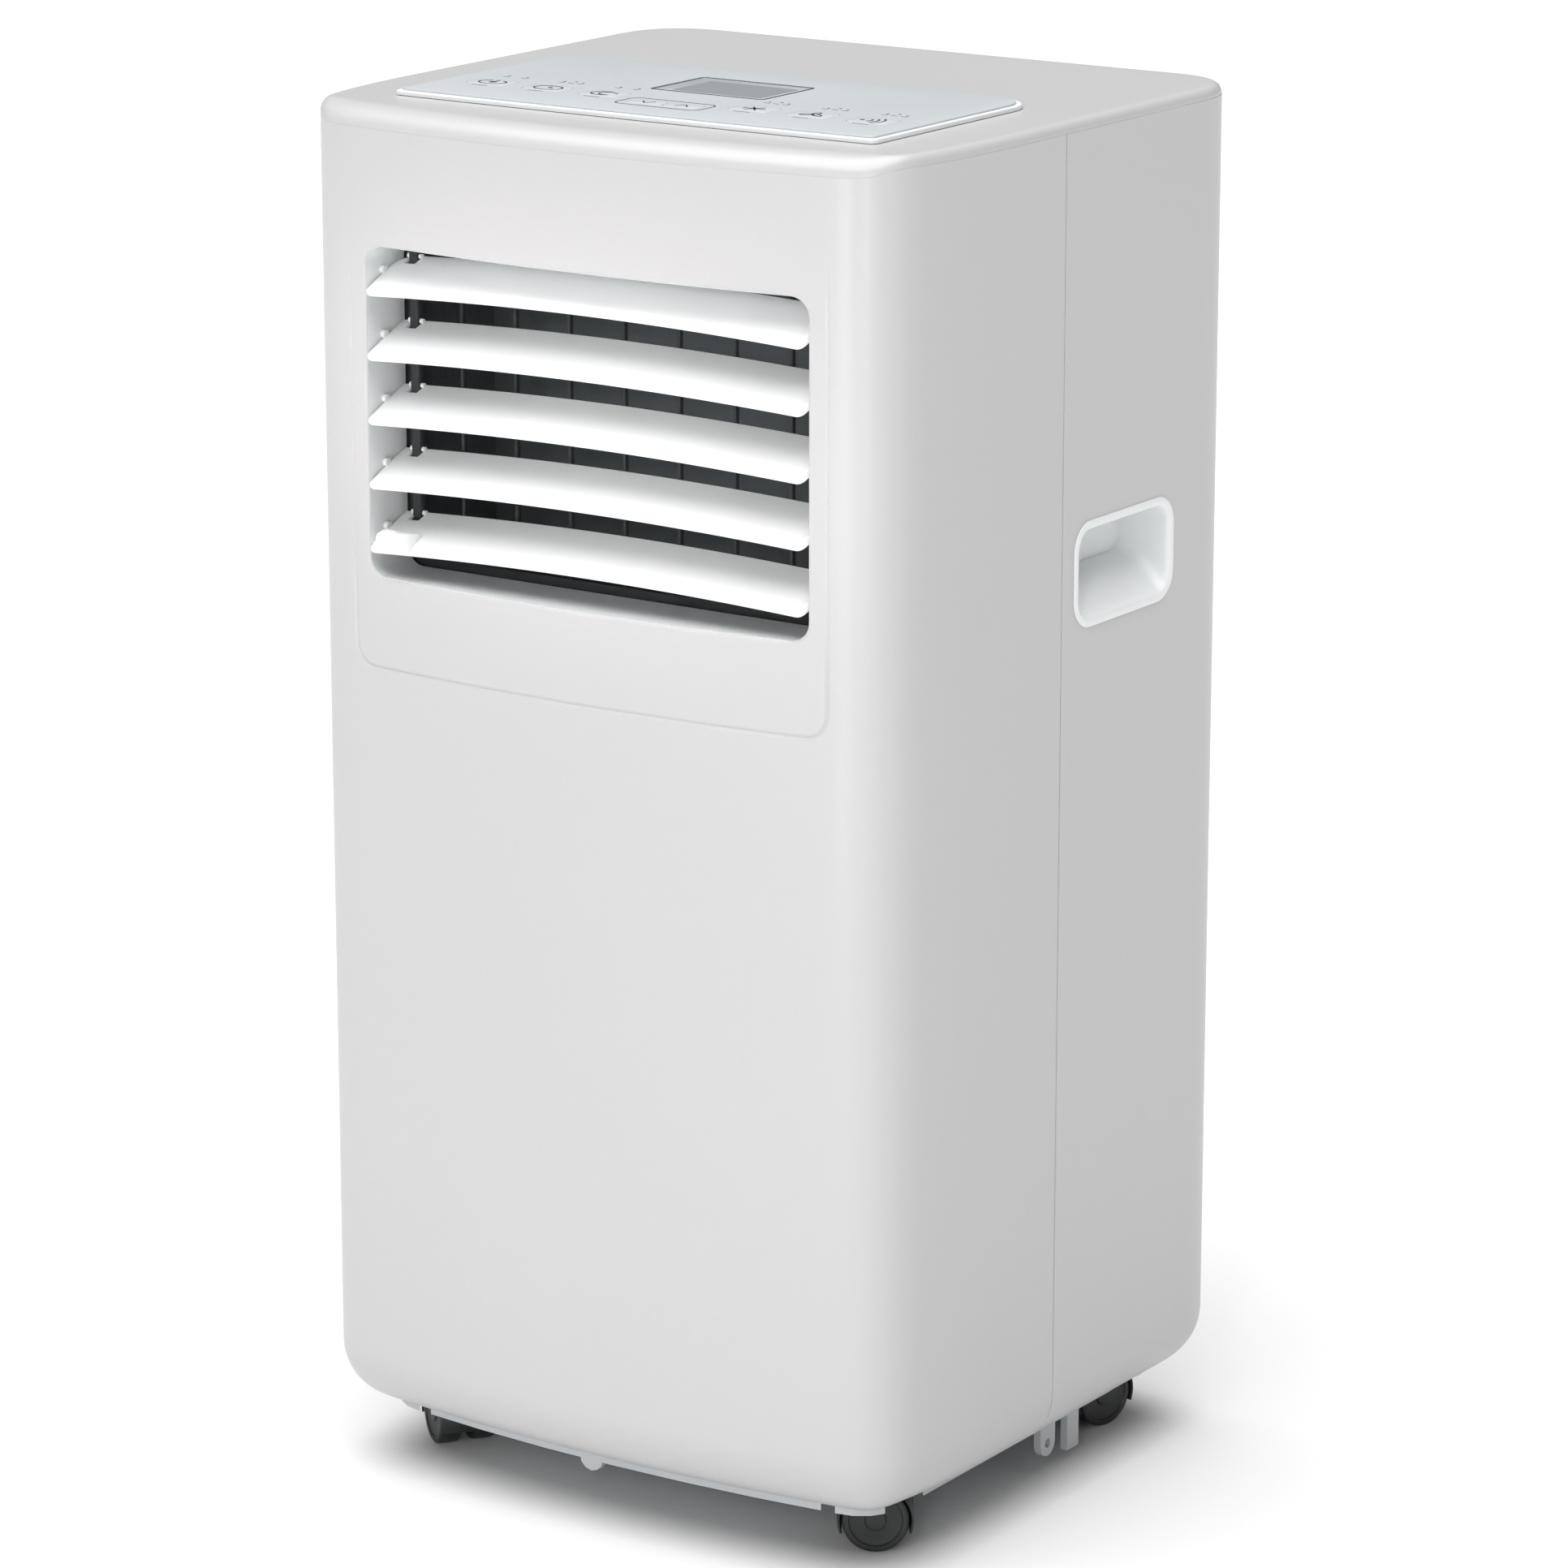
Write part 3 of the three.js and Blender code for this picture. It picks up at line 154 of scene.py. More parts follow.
def loft(rings, closed=True, cap=(False, False)):
    """Faces between rings of the same number of points."""
    n = len(rings[0])
    points = [p for ring in rings for p in ring]
    faces = []
    for k in range(len(rings) - 1):
        for i in range(n if closed else n - 1):
            j = (i + 1) % n
            faces.append((k * n + i, k * n + j, (k + 1) * n + j, (k + 1) * n + i))
    if cap[0]:
        faces.append(tuple(reversed(range(n))))
    if cap[1]:
        faces.append(tuple(range((len(rings) - 1) * n, len(rings) * n)))
    return points, faces


def merge(*parts):
    """Several (points, faces) as one."""
    points, faces = [], []
    for p, f in parts:
        base = len(points)
        points += p
        faces += [tuple(i + base for i in face) for face in f]
    return points, faces


def turned(profile, centre, axis, steps=64, cap=True, sweep=(0, 360)):
    """A profile of (radius, distance along the axis), turned about the axis through centre."""
    axis = Vector(axis).normalized()
    side = axis.orthogonal().normalized() if abs(axis.z) > 0.9 else Z.cross(axis).normalized()
    other = axis.cross(side)
    full = sweep[1] - sweep[0] >= 360
    angles = [math.radians(mix(*sweep, i / steps)) for i in range(steps if full else steps + 1)]
    rings = [
        [Vector(centre) + axis * h + (side * math.cos(a) + other * math.sin(a)) * r for a in angles]
        for r, h in profile
    ]
    return loft(rings, closed=full, cap=(cap, cap) if full else (False, False))


def prism(outline, place, low, high, edge=0.0, steps=3):
    """An outline raised from low to high along a direction, with a rounded upper edge.

    outline(inset) gives its points, and place(a, b, h) puts a point in the frame."""
    rings = [[place(a, b, low) for a, b in outline(0)]]
    if edge:
        for i in range(steps + 1):
            t = math.radians(90 * i / steps)
            line = outline(edge * (1 - math.cos(t)))
            rings.append([place(a, b, high - edge + edge * math.sin(t)) for a, b in line])
    else:
        rings.append([place(a, b, high) for a, b in outline(0)])
    return loft(rings, cap=(True, True))


def tube(points, radius, steps=12, cap=True):
    """A round bar along points, all its rings square to the path."""
    rings = []
    up = Z
    for i, p in enumerate(points):
        ahead = (Vector(points[min(i + 1, len(points) - 1)]) - Vector(points[max(i - 1, 0)])).normalized()
        side = ahead.cross(up)
        side = (side if side.length > 1e-3 else ahead.cross(X)).normalized()
        over = side.cross(ahead)
        rings.append([
            Vector(p) + (side * math.cos(a) + over * math.sin(a)) * radius
            for a in (2 * math.pi * k / steps for k in range(steps))
        ])
    return loft(rings, cap=(cap, cap))


def mesh_object(name, points, faces):
    mesh = bpy.data.meshes.new(name)
    mesh.from_pydata([tuple(p) for p in points], [], faces)
    mesh.validate()
    mesh.update()
    piece = bpy.data.objects.new(name, mesh)
    bpy.context.scene.collection.objects.link(piece)
    return piece


def face_out(piece):
    """Turns a closed mesh's faces outwards."""
    work = bmesh.new()
    work.from_mesh(piece.data)
    bmesh.ops.remove_doubles(work, verts=work.verts, dist=1e-7)
    bmesh.ops.recalc_face_normals(work, faces=work.faces)
    work.to_mesh(piece.data)
    work.free()


def settle(piece):
    """Applies a piece's modifiers to its mesh."""
    graph = bpy.context.evaluated_depsgraph_get()
    mesh = bpy.data.meshes.new_from_object(piece.evaluated_get(graph))
    old = piece.data
    piece.modifiers.clear()
    piece.data = mesh
    bpy.data.meshes.remove(old)


def carve(piece, *cutters):
    """Cuts closed meshes out of a closed piece."""
    for points, faces in cutters:
        tool = mesh_object("cutter", points, faces)
        face_out(tool)
        cut = piece.modifiers.new("cut", "BOOLEAN")
        cut.operation = "DIFFERENCE"
        cut.solver = "MANIFOLD"
        cut.object = tool
        settle(piece)
        bpy.data.objects.remove(tool)


def smooth(piece, angle=32):
    for face in piece.data.polygons:
        face.use_smooth = True
    piece.data.set_sharp_from_angle(angle=math.radians(angle))


def keep_normals(piece, skin):
    """Shades a cut piece as smoothly as the whole skin that it was cut from."""
    mesh = piece.data
    tree = BVHTree.FromPolygons([v.co for v in skin.vertices], [f.vertices for f in skin.polygons])
    found = {}
    normals = []
    for face in mesh.polygons:
        for loop in range(face.loop_start, face.loop_start + face.loop_total):
            vertex = mesh.loops[loop].vertex_index
            if vertex not in found:
                spot, _, index, gap = tree.find_nearest(mesh.vertices[vertex].co)
                found[vertex] = None
                if spot is not None and gap < 0.05 * MM:
                    corners = skin.polygons[index].vertices
                    weights = poly_3d_calc([skin.vertices[c].co for c in corners], spot)
                    normal = sum((skin.vertices[c].normal * w for c, w in zip(corners, weights)), Vector())
                    found[vertex] = normal.normalized()
            normal = found[vertex]
            near = normal is not None and normal.dot(face.normal) > 0.85
            normals.append(tuple(normal) if near else tuple(mesh.corner_normals[loop].vector))
    mesh.normals_split_custom_set(normals)


def finish_piece(piece, body, slot, material, *replaced):
    piece.data.materials.clear()
    piece.data.materials.append(material)
    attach(piece, body)
    if replaced:
        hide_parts(*replaced)
    return piece


def solid_piece(name, mesh, body, slot, material, *replaced, angle=32):
    piece = mesh_object(name, *mesh)
    face_out(piece)
    smooth(piece, angle)
    return finish_piece(piece, body, slot, material, *replaced)


# ---------------------------------------------------------------- materials
def linear(hex_value):
    """An sRGB hex value as linear red, green, blue and alpha."""
    parts = [int(hex_value[i:i + 2], 16) / 255 for i in (1, 3, 5)]
    return (*[c / 12.92 if c <= 0.04045 else ((c + 0.055) / 1.055) ** 2.4 for c in parts], 1.0)


def add_node(tree, kind, inputs=(), **settings):
    """A node with its settings; an input is a value or the socket that feeds it."""
    made = tree.nodes.new(kind)
    for key, value in settings.items():
        setattr(made, key, value)
    for key, value in dict(inputs).items():
        if isinstance(value, bpy.types.NodeSocket):
            tree.links.new(value, made.inputs[key])
        else:
            made.inputs[key].default_value = value
    return made


def per_metre(size):
    """A noise or voronoi scale whose cells are this size."""
    return 1 / size


def shader(name, base, roughness, ior=1.5, metallic=0.0, tint=None, tint_size=60 * MM, grain=None,
           grain_depth=0.0, rough_spread=0.04, coat=0.0):
    """A principled material with a broad tint, a fine grain and an uneven gloss, all sized in metres."""
    if name in bpy.data.materials:
        return bpy.data.materials[name]
    material = bpy.data.materials.new(name)
    material.use_nodes = True
    tree = material.node_tree
    tree.nodes.clear()
    place = add_node(tree, "ShaderNodeTexCoord").outputs["Object"]
    broad = add_node(tree, "ShaderNodeTexNoise", {
        "Vector": place, "Scale": per_metre(tint_size), "Detail": 3.0,
    })
    shade = add_node(tree, "ShaderNodeMix", {
        "Factor": broad.outputs["Fac"], "A": linear(base), "B": linear(tint or base),
    }, data_type="RGBA")
    body = add_node(tree, "ShaderNodeBsdfPrincipled", {"Base Color": shade.outputs["Result"]})
    body.inputs["Metallic"].default_value = metallic
    if not metallic:
        body.inputs["IOR"].default_value = ior
    body.inputs["Coat Weight"].default_value = coat
    gloss = add_node(tree, "ShaderNodeMapRange", {
        "Value": broad.outputs["Fac"], "To Min": roughness - rough_spread, "To Max": roughness + rough_spread,
    })
    tree.links.new(gloss.outputs["Result"], body.inputs["Roughness"])
    if grain:
        fine = add_node(tree, "ShaderNodeTexNoise", {
            "Vector": place, "Scale": per_metre(grain), "Detail": 2.0,
        })
        bump = add_node(tree, "ShaderNodeBump", {
            "Height": fine.outputs["Fac"], "Strength": 1.0, "Distance": grain_depth,
        })
        tree.links.new(bump.outputs["Normal"], body.inputs["Normal"])
    add_node(tree, "ShaderNodeOutputMaterial", {"Surface": body.outputs["BSDF"]})
    return material


def casing_abs():
    # ABS, injection moulded in a spark-eroded tool: satin, with a fine pebble grain and a broad highlight
    return shader("abs_moulded_white_satin", colours().casing, 0.34, 1.53, tint="#BEBDBD", tint_size=140 * MM,
                  grain=1.1 * MM, grain_depth=0.006 * MM)


def trim_abs_painted_light():
    # ABS, moulded in a polished tool: smoother than the casing, so its edges catch a thin highlight. Its
    # colour is the same white ABS painted much lighter than the casing's, as painted light in the outlet's
    # reveal and the grip recesses and on the control plate
    return shader("abs_moulded_white_painted_light", "#E7E9EA", 0.34, 1.53, tint="#E4E6E6", tint_size=90 * MM,
                  grain=2.2 * MM, grain_depth=0.004 * MM)


def tray_pp():
    # Polypropylene, moulded: cooler and a little waxy beside the ABS
    return shader("polypropylene_moulded_grey", colours().tray, 0.5, 1.49, tint="#B6BABD", grain=1.4 * MM,
                  grain_depth=0.012 * MM)


def overlay_polyester():
    # Polyester overlay, screen printed on its back: even grey with a velvet-etched face
    return shader("polyester_overlay_printed_grey", colours().foil, 0.36, 1.57, tint="#BFC4C7",
                  tint_size=40 * MM, grain=0.8 * MM, grain_depth=0.004 * MM)


def key_polyester():
    # The same overlay where it is embossed over a key
    return shader("polyester_embossed_key", "#C6CBCE", 0.34, 1.57, tint="#C3C8CB", tint_size=25 * MM,
                  grain=0.8 * MM, grain_depth=0.004 * MM)


def printed_ink():
    # Screen-printed ink: dark, matt and slightly uneven
    return shader("ink_screen_printed_dark", colours().ink, 0.55, 1.5, tint="#383D40", tint_size=3 * MM,
                  grain=0.4 * MM, grain_depth=0.003 * MM)


def lens_acrylic():
    # Acrylic lens, tinted and polished: grey and glossy, with a dark printed border under it
    return shader("acrylic_tinted_lens", "#9FA4A6", 0.14, 1.49, tint="#989D9F", tint_size=30 * MM,
                  grain=3 * MM, grain_depth=0.002 * MM, rough_spread=0.02)


def caster_nylon():
    # Glass-filled nylon, moulded black: dull, with a coarse flow grain and slightly greyed by scuffs
    return shader("nylon_moulded_black", colours().nylon, 0.5, 1.53, tint="#252728", tint_size=9 * MM,
                  grain=0.9 * MM, grain_depth=0.02 * MM, rough_spread=0.08)


def duct_foam():
    # Expanded polystyrene, steam moulded and coloured dark: pressed beads 4 mm across
    material = shader("polystyrene_foam_moulded_dark", "#494D4F", 0.9, 1.45, tint="#44484A",
                      tint_size=30 * MM)
    tree = material.node_tree
    body = tree.nodes["Principled BSDF"]
    if not body.inputs["Normal"].is_linked:
        place = tree.nodes["Texture Coordinate"].outputs["Object"]
        beads = add_node(tree, "ShaderNodeTexVoronoi", {"Vector": place, "Scale": per_metre(4 * MM)})
        bump = add_node(tree, "ShaderNodeBump", {
            "Height": beads.outputs["Distance"], "Strength": 1.0, "Distance": 0.25 * MM,
        })
        tree.links.new(bump.outputs["Normal"], body.inputs["Normal"])
    return material


def guard_plastic():
    # Polypropylene, moulded dark grey: the guard behind the louvres
    return shader("polypropylene_moulded_dark", "#2C2F30", 0.75, 1.49, tint="#292C2D", tint_size=12 * MM,
                  grain=1.2 * MM, grain_depth=0.02 * MM)


def rubber():
    # EPDM rubber, moulded: near black and matt
    return shader("epdm_rubber_moulded_black", "#222324", 0.75, 1.52, tint="#2A2B2C", tint_size=6 * MM,
                  grain=0.7 * MM, grain_depth=0.02 * MM)


def zinc_steel():
    # Steel sheet, pressed and zinc plated: a faint spangle some 6 mm across
    return shader("steel_pressed_zinc_plated", "#A9ADB0", 0.38, metallic=1.0, tint="#9AA0A4",
                  tint_size=6 * MM, grain=1.5 * MM, grain_depth=0.01 * MM, rough_spread=0.08)


def copper():
    # Copper tube, drawn, darkened a little by brazing heat
    return shader("copper_drawn_tube", "#C07A50", 0.32, metallic=1.0, tint="#8F5638", tint_size=35 * MM,
                  grain=1.0 * MM, grain_depth=0.01 * MM, rough_spread=0.1)


def black_enamel():
    # Enamel sprayed on a drawn steel shell: glossy with a slight orange peel 3 mm across
    return shader("enamel_sprayed_black", "#1E1F20", 0.28, 1.52, tint="#242527", tint_size=50 * MM,
                  grain=3 * MM, grain_depth=0.05 * MM, coat=0.3)


def board_mask():
    # Solder mask on glass-fibre board
    return shader("fibreglass_solder_mask_green", "#2A6343", 0.4, 1.55, tint="#235539", tint_size=14 * MM,
                  grain=1.0 * MM, grain_depth=0.01 * MM)


def capacitor_case():
    # Polypropylene can, moulded off-white
    return shader("polypropylene_moulded_offwhite", "#D6D5CC", 0.45, 1.49, tint="#CECDC3", tint_size=20 * MM,
                  grain=1.0 * MM, grain_depth=0.01 * MM)


def striped(name, base, tint, metallic, roughness, pitch, depth, axis, second=None):
    """A material with fine parallel ridges of the given pitch, and optionally a second set across them, with
    painted shade in the gaps between the ridges.
    """
    made = name not in bpy.data.materials
    material = shader(name, base, roughness, metallic=metallic, tint=tint)
    if not made:
        return material
    tree = material.node_tree
    body = tree.nodes["Principled BSDF"]
    place = tree.nodes["Texture Coordinate"].outputs["Object"]
    ridges = []
    for direction in filter(None, (axis, second)):
        wave = add_node(tree, "ShaderNodeTexWave", {"Vector": place, "Scale": math.pi / (10 * pitch)},
                        wave_type="BANDS", bands_direction=direction)
        ridges.append(wave.outputs["Fac"])
    height = ridges[0]
    if second:
        crossed = add_node(tree, "ShaderNodeMath", {0: ridges[0], 1: ridges[1]}, operation="MAXIMUM")
        height = crossed.outputs[0]
    bump = add_node(tree, "ShaderNodeBump", {"Height": height, "Strength": 1.0, "Distance": depth})
    tree.links.new(bump.outputs["Normal"], body.inputs["Normal"])
    shade = tree.nodes["Mix"]
    # painted shade: the colour darkens to near black in the gaps between the ridges
    dark = add_node(tree, "ShaderNodeMix", {"Factor": height, "A": linear("#1C2022"), "B": linear(base)},
                    data_type="RGBA")
    tree.links.new(dark.outputs["Result"], body.inputs["Base Color"])
    tree.nodes.remove(shade)
    return material


def fin_stock():
    # Aluminium fins, rolled and pressed on the tubes: real ones stand 1.6 mm apart, drawn at 2.4 mm to show
    return striped("aluminium_fin_stock", "#B9C0C6", "#B0B8BE", 0.9, 0.35, 2.4 * MM, 0.6 * MM, "X")


def filter_mesh():
    # Nylon mesh, woven from 0.25 mm thread, drawn at a 1.6 mm spacing to show
    return striped("nylon_woven_mesh_grey", "#6F777C", "#666E73", 0.0, 0.7, 1.6 * MM, 0.3 * MM, "X",
                   second="Z")


# ---------------------------------------------------------------- the cabinet's skin
WINDOW_X, WINDOW_Z, WINDOW_R = 129 * MM, (469 * MM, 633 * MM), 10 * MM
RECESS_X, RECESS_Z, RECESS_R = 139 * MM, 423.5 * MM, 12 * MM
RECESS_TOP = 800 * MM  # past the top edge, so that the step has no upper side
STEP = 0.5 * MM  # length of one step along the plan
TIGHT_TURN = math.radians(71)  # turned by the tight part of a front corner
SOFT_START = 0.3  # where the gentle part starts, as a share of the tight run
CASING_TOP_GAP = 0.04 * MM  # between the casings and the top cover
COVER_EDGE = 0.12 * MM  # the cover's lower edge is broken by this much


def heading(s, bend):
    """The skin's heading in radians, a distance s along it from the front's middle."""
    size = sizes()
    crown = min(s, bend) / size.crown_radius
    rest = math.pi / 2 - bend / size.crown_radius - TIGHT_TURN
    return (crown + TIGHT_TURN * ease((s - bend) / size.corner_run)
            + rest * ease((s - bend - SOFT_START * size.corner_run) / size.soft_run))


def walk(bend, run):
    """Points (x, y, heading) from the front's middle."""
    x, y, points = 0.0, FRONT_Y, [(0.0, FRONT_Y, 0.0)]
    for i in range(int(run / STEP)):
        a = heading((i + 0.5) * STEP, bend)
        x, y = x + STEP * math.cos(a), y + STEP * math.sin(a)
        points.append((x, y, heading((i + 1) * STEP, bend)))
    return points


class Plan:
    """The plan outline's right half, from the front's middle round to the rear's middle."""

    def __init__(self):
        size = sizes()
        low, high = 60 * MM, 150 * MM
        for _ in range(30):
            bend = (low + high) / 2
            points = walk(bend, bend + SOFT_START * size.corner_run + size.soft_run)
            low, high = (bend, high) if points[-1][0] < HALF_W else (low, bend)
        reach, depth, turn = 0.0, 0.0, []
        for i in range(int(size.rear_run / STEP)):
            a = math.pi / 2 + math.pi / 2 * ease((i + 0.5) * STEP / size.rear_run)
            reach, depth = reach + STEP * math.cos(a), depth + STEP * math.sin(a)
            turn.append((reach, depth, math.pi / 2 + math.pi / 2 * ease((i + 1) * STEP / size.rear_run)))
        x, y = points[-1][0], points[-1][1]
        while y < REAR_Y - depth - STEP:
            y += STEP
            points.append((x, y, math.pi / 2))
        base = (x, REAR_Y - depth)
        points += [(base[0] + a, base[1] + b, t) for a, b, t in turn]
        x = points[-1][0]
        while x > STEP:
            x -= STEP
            points.append((x, REAR_Y, math.pi))
        points.append((0.0, REAR_Y, math.pi))
        self.points = points
        self.run = [0.0]
        for a, b in zip(points, points[1:]):
            self.run.append(self.run[-1] + math.dist(a[:2], b[:2]))
        self.whole = self.run[-1]

    def at(self, s):
        """(x, y, heading) at a signed distance; negative, or past the rear's middle, is the left half."""
        if s > self.whole:
            s -= 2 * self.whole
        side = -1 if s < 0 else 1
        s = min(abs(s), self.whole)
        low, high = 0, len(self.run) - 1
        while high - low > 1:
            middle = (low + high) // 2
            low, high = (middle, high) if self.run[middle] <= s else (low, middle)
        t = (s - self.run[low]) / max(self.run[high] - self.run[low], 1e-12)
        x, y, a = (mix(p, q, t) for p, q in zip(self.points[low], self.points[high]))
        return side * x, y, side * a

    def distance(self, test):
        """The first distance where test(x, y) holds."""
        for s, (x, y, _) in zip(self.run, self.points):
            if test(x, y):
                return s
        return self.whole


PLAN = []


def plan():
    if not PLAN:
        PLAN.append(Plan())
    return PLAN[0]


def skin_point(s, inset, z):
    x, y, a = plan().at(s)
    return Vector((x - math.sin(a) * inset, y + math.cos(a) * inset, z))


def roll_of(s):
    """(depth, drop) of the rounded top edge there."""
    size = sizes()
    _, _, a = plan().at(s)
    side = ease((abs(math.degrees(a)) - 15) / 60)
    return mix(size.front_roll, size.side_roll, side), mix(size.front_drop, size.side_drop, side)


def lip(d, r):
    """How far a rounded edge of radius r falls in, a distance d from the edge."""
    return r - math.sqrt(max(r * r - (r - d) ** 2, 0.0)) if d < r else 0.0


def outside_rect(x, z, half, low, high, r):
    """Signed distance of a point from a rounded rectangle, positive outside."""
    dx, dz = abs(x) - (half - r), abs(z - (low + high) / 2) - ((high - low) / 2 - r)
    return math.hypot(max(dx, 0), max(dz, 0)) + min(max(dx, dz), 0) - r


def front_inset(x, z):
    """The step round the outlet and the outlet's own rounded lip."""
    size = sizes()
    inner = -outside_rect(x, z, RECESS_X, RECESS_Z, RECESS_TOP, RECESS_R)
    fade = 1 - 0.7 * ease((z - 440 * MM) / (60 * MM)) - 0.3 * ease((z - 600 * MM) / (60 * MM))
    groove = size.groove * math.exp(-(inner / (0.75 * MM)) ** 2)
    depth = (size.recess * ease(inner / (1.6 * MM) + 0.5) + groove) * fade
    near = outside_rect(x, z, WINDOW_X, *WINDOW_Z, WINDOW_R)
    return depth + lip(max(near, 0.0), 1.6 * MM)


def rows(*spans):
    """Values through (low, high, step) spans, without repeats."""
    values = []
    for low, high, step in spans:
        n = max(round((high - low) / step), 1)
        values += [low + (high - low) * i / n for i in range(n + 1)]
    kept = []
    for v in sorted(values):
        if not kept or v - kept[-1] > 0.02 * MM:
            kept.append(v)
    return kept


def lower_rows():
    """(inset, z) up the rounded lower edge."""
    r = sizes().lower_radius
    return [
        (r * (1 - math.sin(a)), LOW_Z + r * (1 - math.cos(a)))
        for a in (math.radians(v) for v in (10, 16, 22, 29, 36, 43, 50, 57, 64, 71, 78, 84))
    ]


def wall_skin(columns, heights, ends, extra):
    """A casing's bare outer skin: points and faces over distances along the plan."""
    edge = sizes().lip
    cuts = [(s, lip(min(abs(s - end) for end in ends), edge)) for s in columns]
    rings = [[skin_point(s, inset + cut, z) for s, cut in cuts] for inset, z in lower_rows()]
    for z in heights:
        rings.append([skin_point(s, cut + (extra(plan().at(s)[0], z) if extra else 0), z) for s, cut in cuts])
    for t in (0.6 * MM, 0.35 * MM, 0.15 * MM, 0.0):
        tucked = lip(t, 0.15 * MM)
        rings.append([
            skin_point(s, cut + tucked, TOP_Z - roll_of(s)[1] - CASING_TOP_GAP - t) for s, cut in cuts
        ])
    return loft(rings, closed=False)


def thicken(piece):
    solid = piece.modifiers.new("wall", "SOLIDIFY")
    solid.thickness = sizes().wall
    solid.offset = -1
    settle(piece)


def casing(name, columns, heights, ends, extra, cutters, node):
    """A thick moulded wall with its openings, shaded like the uncut skin."""
    piece = mesh_object(name, *wall_skin(columns, heights, ends, extra))
    skin = piece.data.copy()
    thicken(piece)
    face_out(piece)
    carve(piece, *cutters)
    smooth(piece, 30)
    keep_normals(piece, skin)
    bpy.data.meshes.remove(skin)
    return finish_piece(piece, CABINET, "white_casing", casing_abs(), node)


def along_y(outline, low, high):
    return prism(outline, lambda a, b, h: Vector((a, h, b)), low, high)


def along_x(outline, low, high):
    return prism(outline, lambda a, b, h: Vector((h, a, b)), low, high)


def disc_outline(centre, r, steps=64):
    return lambda inset: [
        (centre[0] + (r - inset) * math.cos(2 * math.pi * i / steps),
         centre[1] + (r - inset) * math.sin(2 * math.pi * i / steps)) for i in range(steps)
    ]


def rect_outline(x, z, r, steps=10):
    return lambda inset: rounded_rect((x[0] + inset, x[1] - inset), (z[0] + inset, z[1] - inset),
                                      max(r - inset, 0.01 * MM), steps)


GRIP_Y, GRIP_Z, GRIP_R = (1 * MM, 89 * MM), (453 * MM, 500 * MM), 12 * MM
INTAKE_X, INTAKES_Z = 135 * MM, ((470 * MM, 668 * MM), (88 * MM, 286 * MM))
COLLAR_Z, COLLAR_HOLE_R = 382 * MM, 65.3 * MM
DRAINS, DRAIN_HOLE_R = {"upper": (-112 * MM, 330 * MM), "lower": (112 * MM, 62 * MM)}, 8.5 * MM
GLAND_AT, GLAND_HOLE_R = (-118 * MM, 62 * MM), 7 * MM


def seam_distance():
    return plan().distance(lambda x, y: y >= SEAM_Y and x > 100 * MM)


def front_casing():
    """The front wall, with finer columns round the corner and finer rows at the groove and the outlet."""
    size = sizes()
    seam = seam_distance() - size.seam_gap / 2
    half = rows((0, 122 * MM, 6 * MM), (122 * MM, 127 * MM, 0.8 * MM), (127 * MM, 145 * MM, 0.4 * MM),
                (145 * MM, 215 * MM, 2.2 * MM), (215 * MM, seam - 2 * MM, 7 * MM),
                (seam - 2 * MM, seam, 0.2 * MM))
    half = [s for s in half if s <= seam]
    columns = [-s for s in reversed(half) if s > 0] + half
    heights = rows((LOW_Z + size.lower_radius, 412 * MM, 12 * MM), (412 * MM, 420 * MM, 2 * MM),
                   (420 * MM, 438 * MM, 0.4 * MM), (438 * MM, 466 * MM, 4 * MM),
                   (466 * MM, 481 * MM, 0.5 * MM), (481 * MM, 621 * MM, 7 * MM),
                   (621 * MM, 636 * MM, 0.5 * MM), (636 * MM, 688 * MM, 6 * MM))
    opening = rect_outline((-WINDOW_X, WINDOW_X), WINDOW_Z, WINDOW_R, 14)
    window = along_y(opening, FRONT_Y - 20 * MM, -100 * MM)
    return casing("front_casing_shell", columns, heights, (-seam, seam), front_inset, [window],
                  "front_casing")


def rear_casing():
    """The rear wall, with the openings for the intakes, grips, collar, drains and cord gland."""
    size = sizes()
    seam = seam_distance() + size.seam_gap / 2
    whole = plan().whole
    half = rows((seam, seam + 2 * MM, 0.2 * MM), (seam + 2 * MM, seam + 120 * MM, 6 * MM),
                (seam + 120 * MM, whole - 120 * MM, 2.5 * MM), (whole - 120 * MM, whole, 8 * MM))
    # a distance past the rear's middle belongs to the other half
    columns = half + [2 * whole - s for s in reversed(half) if s < whole - 1e-6]
    heights = rows((LOW_Z + size.lower_radius, 690 * MM, 14 * MM))
    through_rear, through_side = (140 * MM, 180 * MM), (150 * MM, 200 * MM)
    grip = rect_outline(GRIP_Y, GRIP_Z, GRIP_R, 12)
    cutters = [along_y(rect_outline((-INTAKE_X, INTAKE_X), z, 3 * MM, 4), *through_rear) for z in INTAKES_Z]
    cutters.append(along_x(grip, *through_side))
    cutters.append(along_x(grip, -through_side[1], -through_side[0]))
    cutters.append(along_y(disc_outline((0, COLLAR_Z), COLLAR_HOLE_R, 96), *through_rear))
    small = [(place, DRAIN_HOLE_R) for place in DRAINS.values()] + [(GLAND_AT, GLAND_HOLE_R)]
    cutters += [along_y(disc_outline(place, radius, 32), *through_rear) for place, radius in small]
    return casing("rear_casing_shell", columns, heights, (seam, 2 * whole - seam), None, cutters,
                  "rear_casing")


PANEL_X, PANEL_Y = 140 * MM, (-121 * MM, 24 * MM)


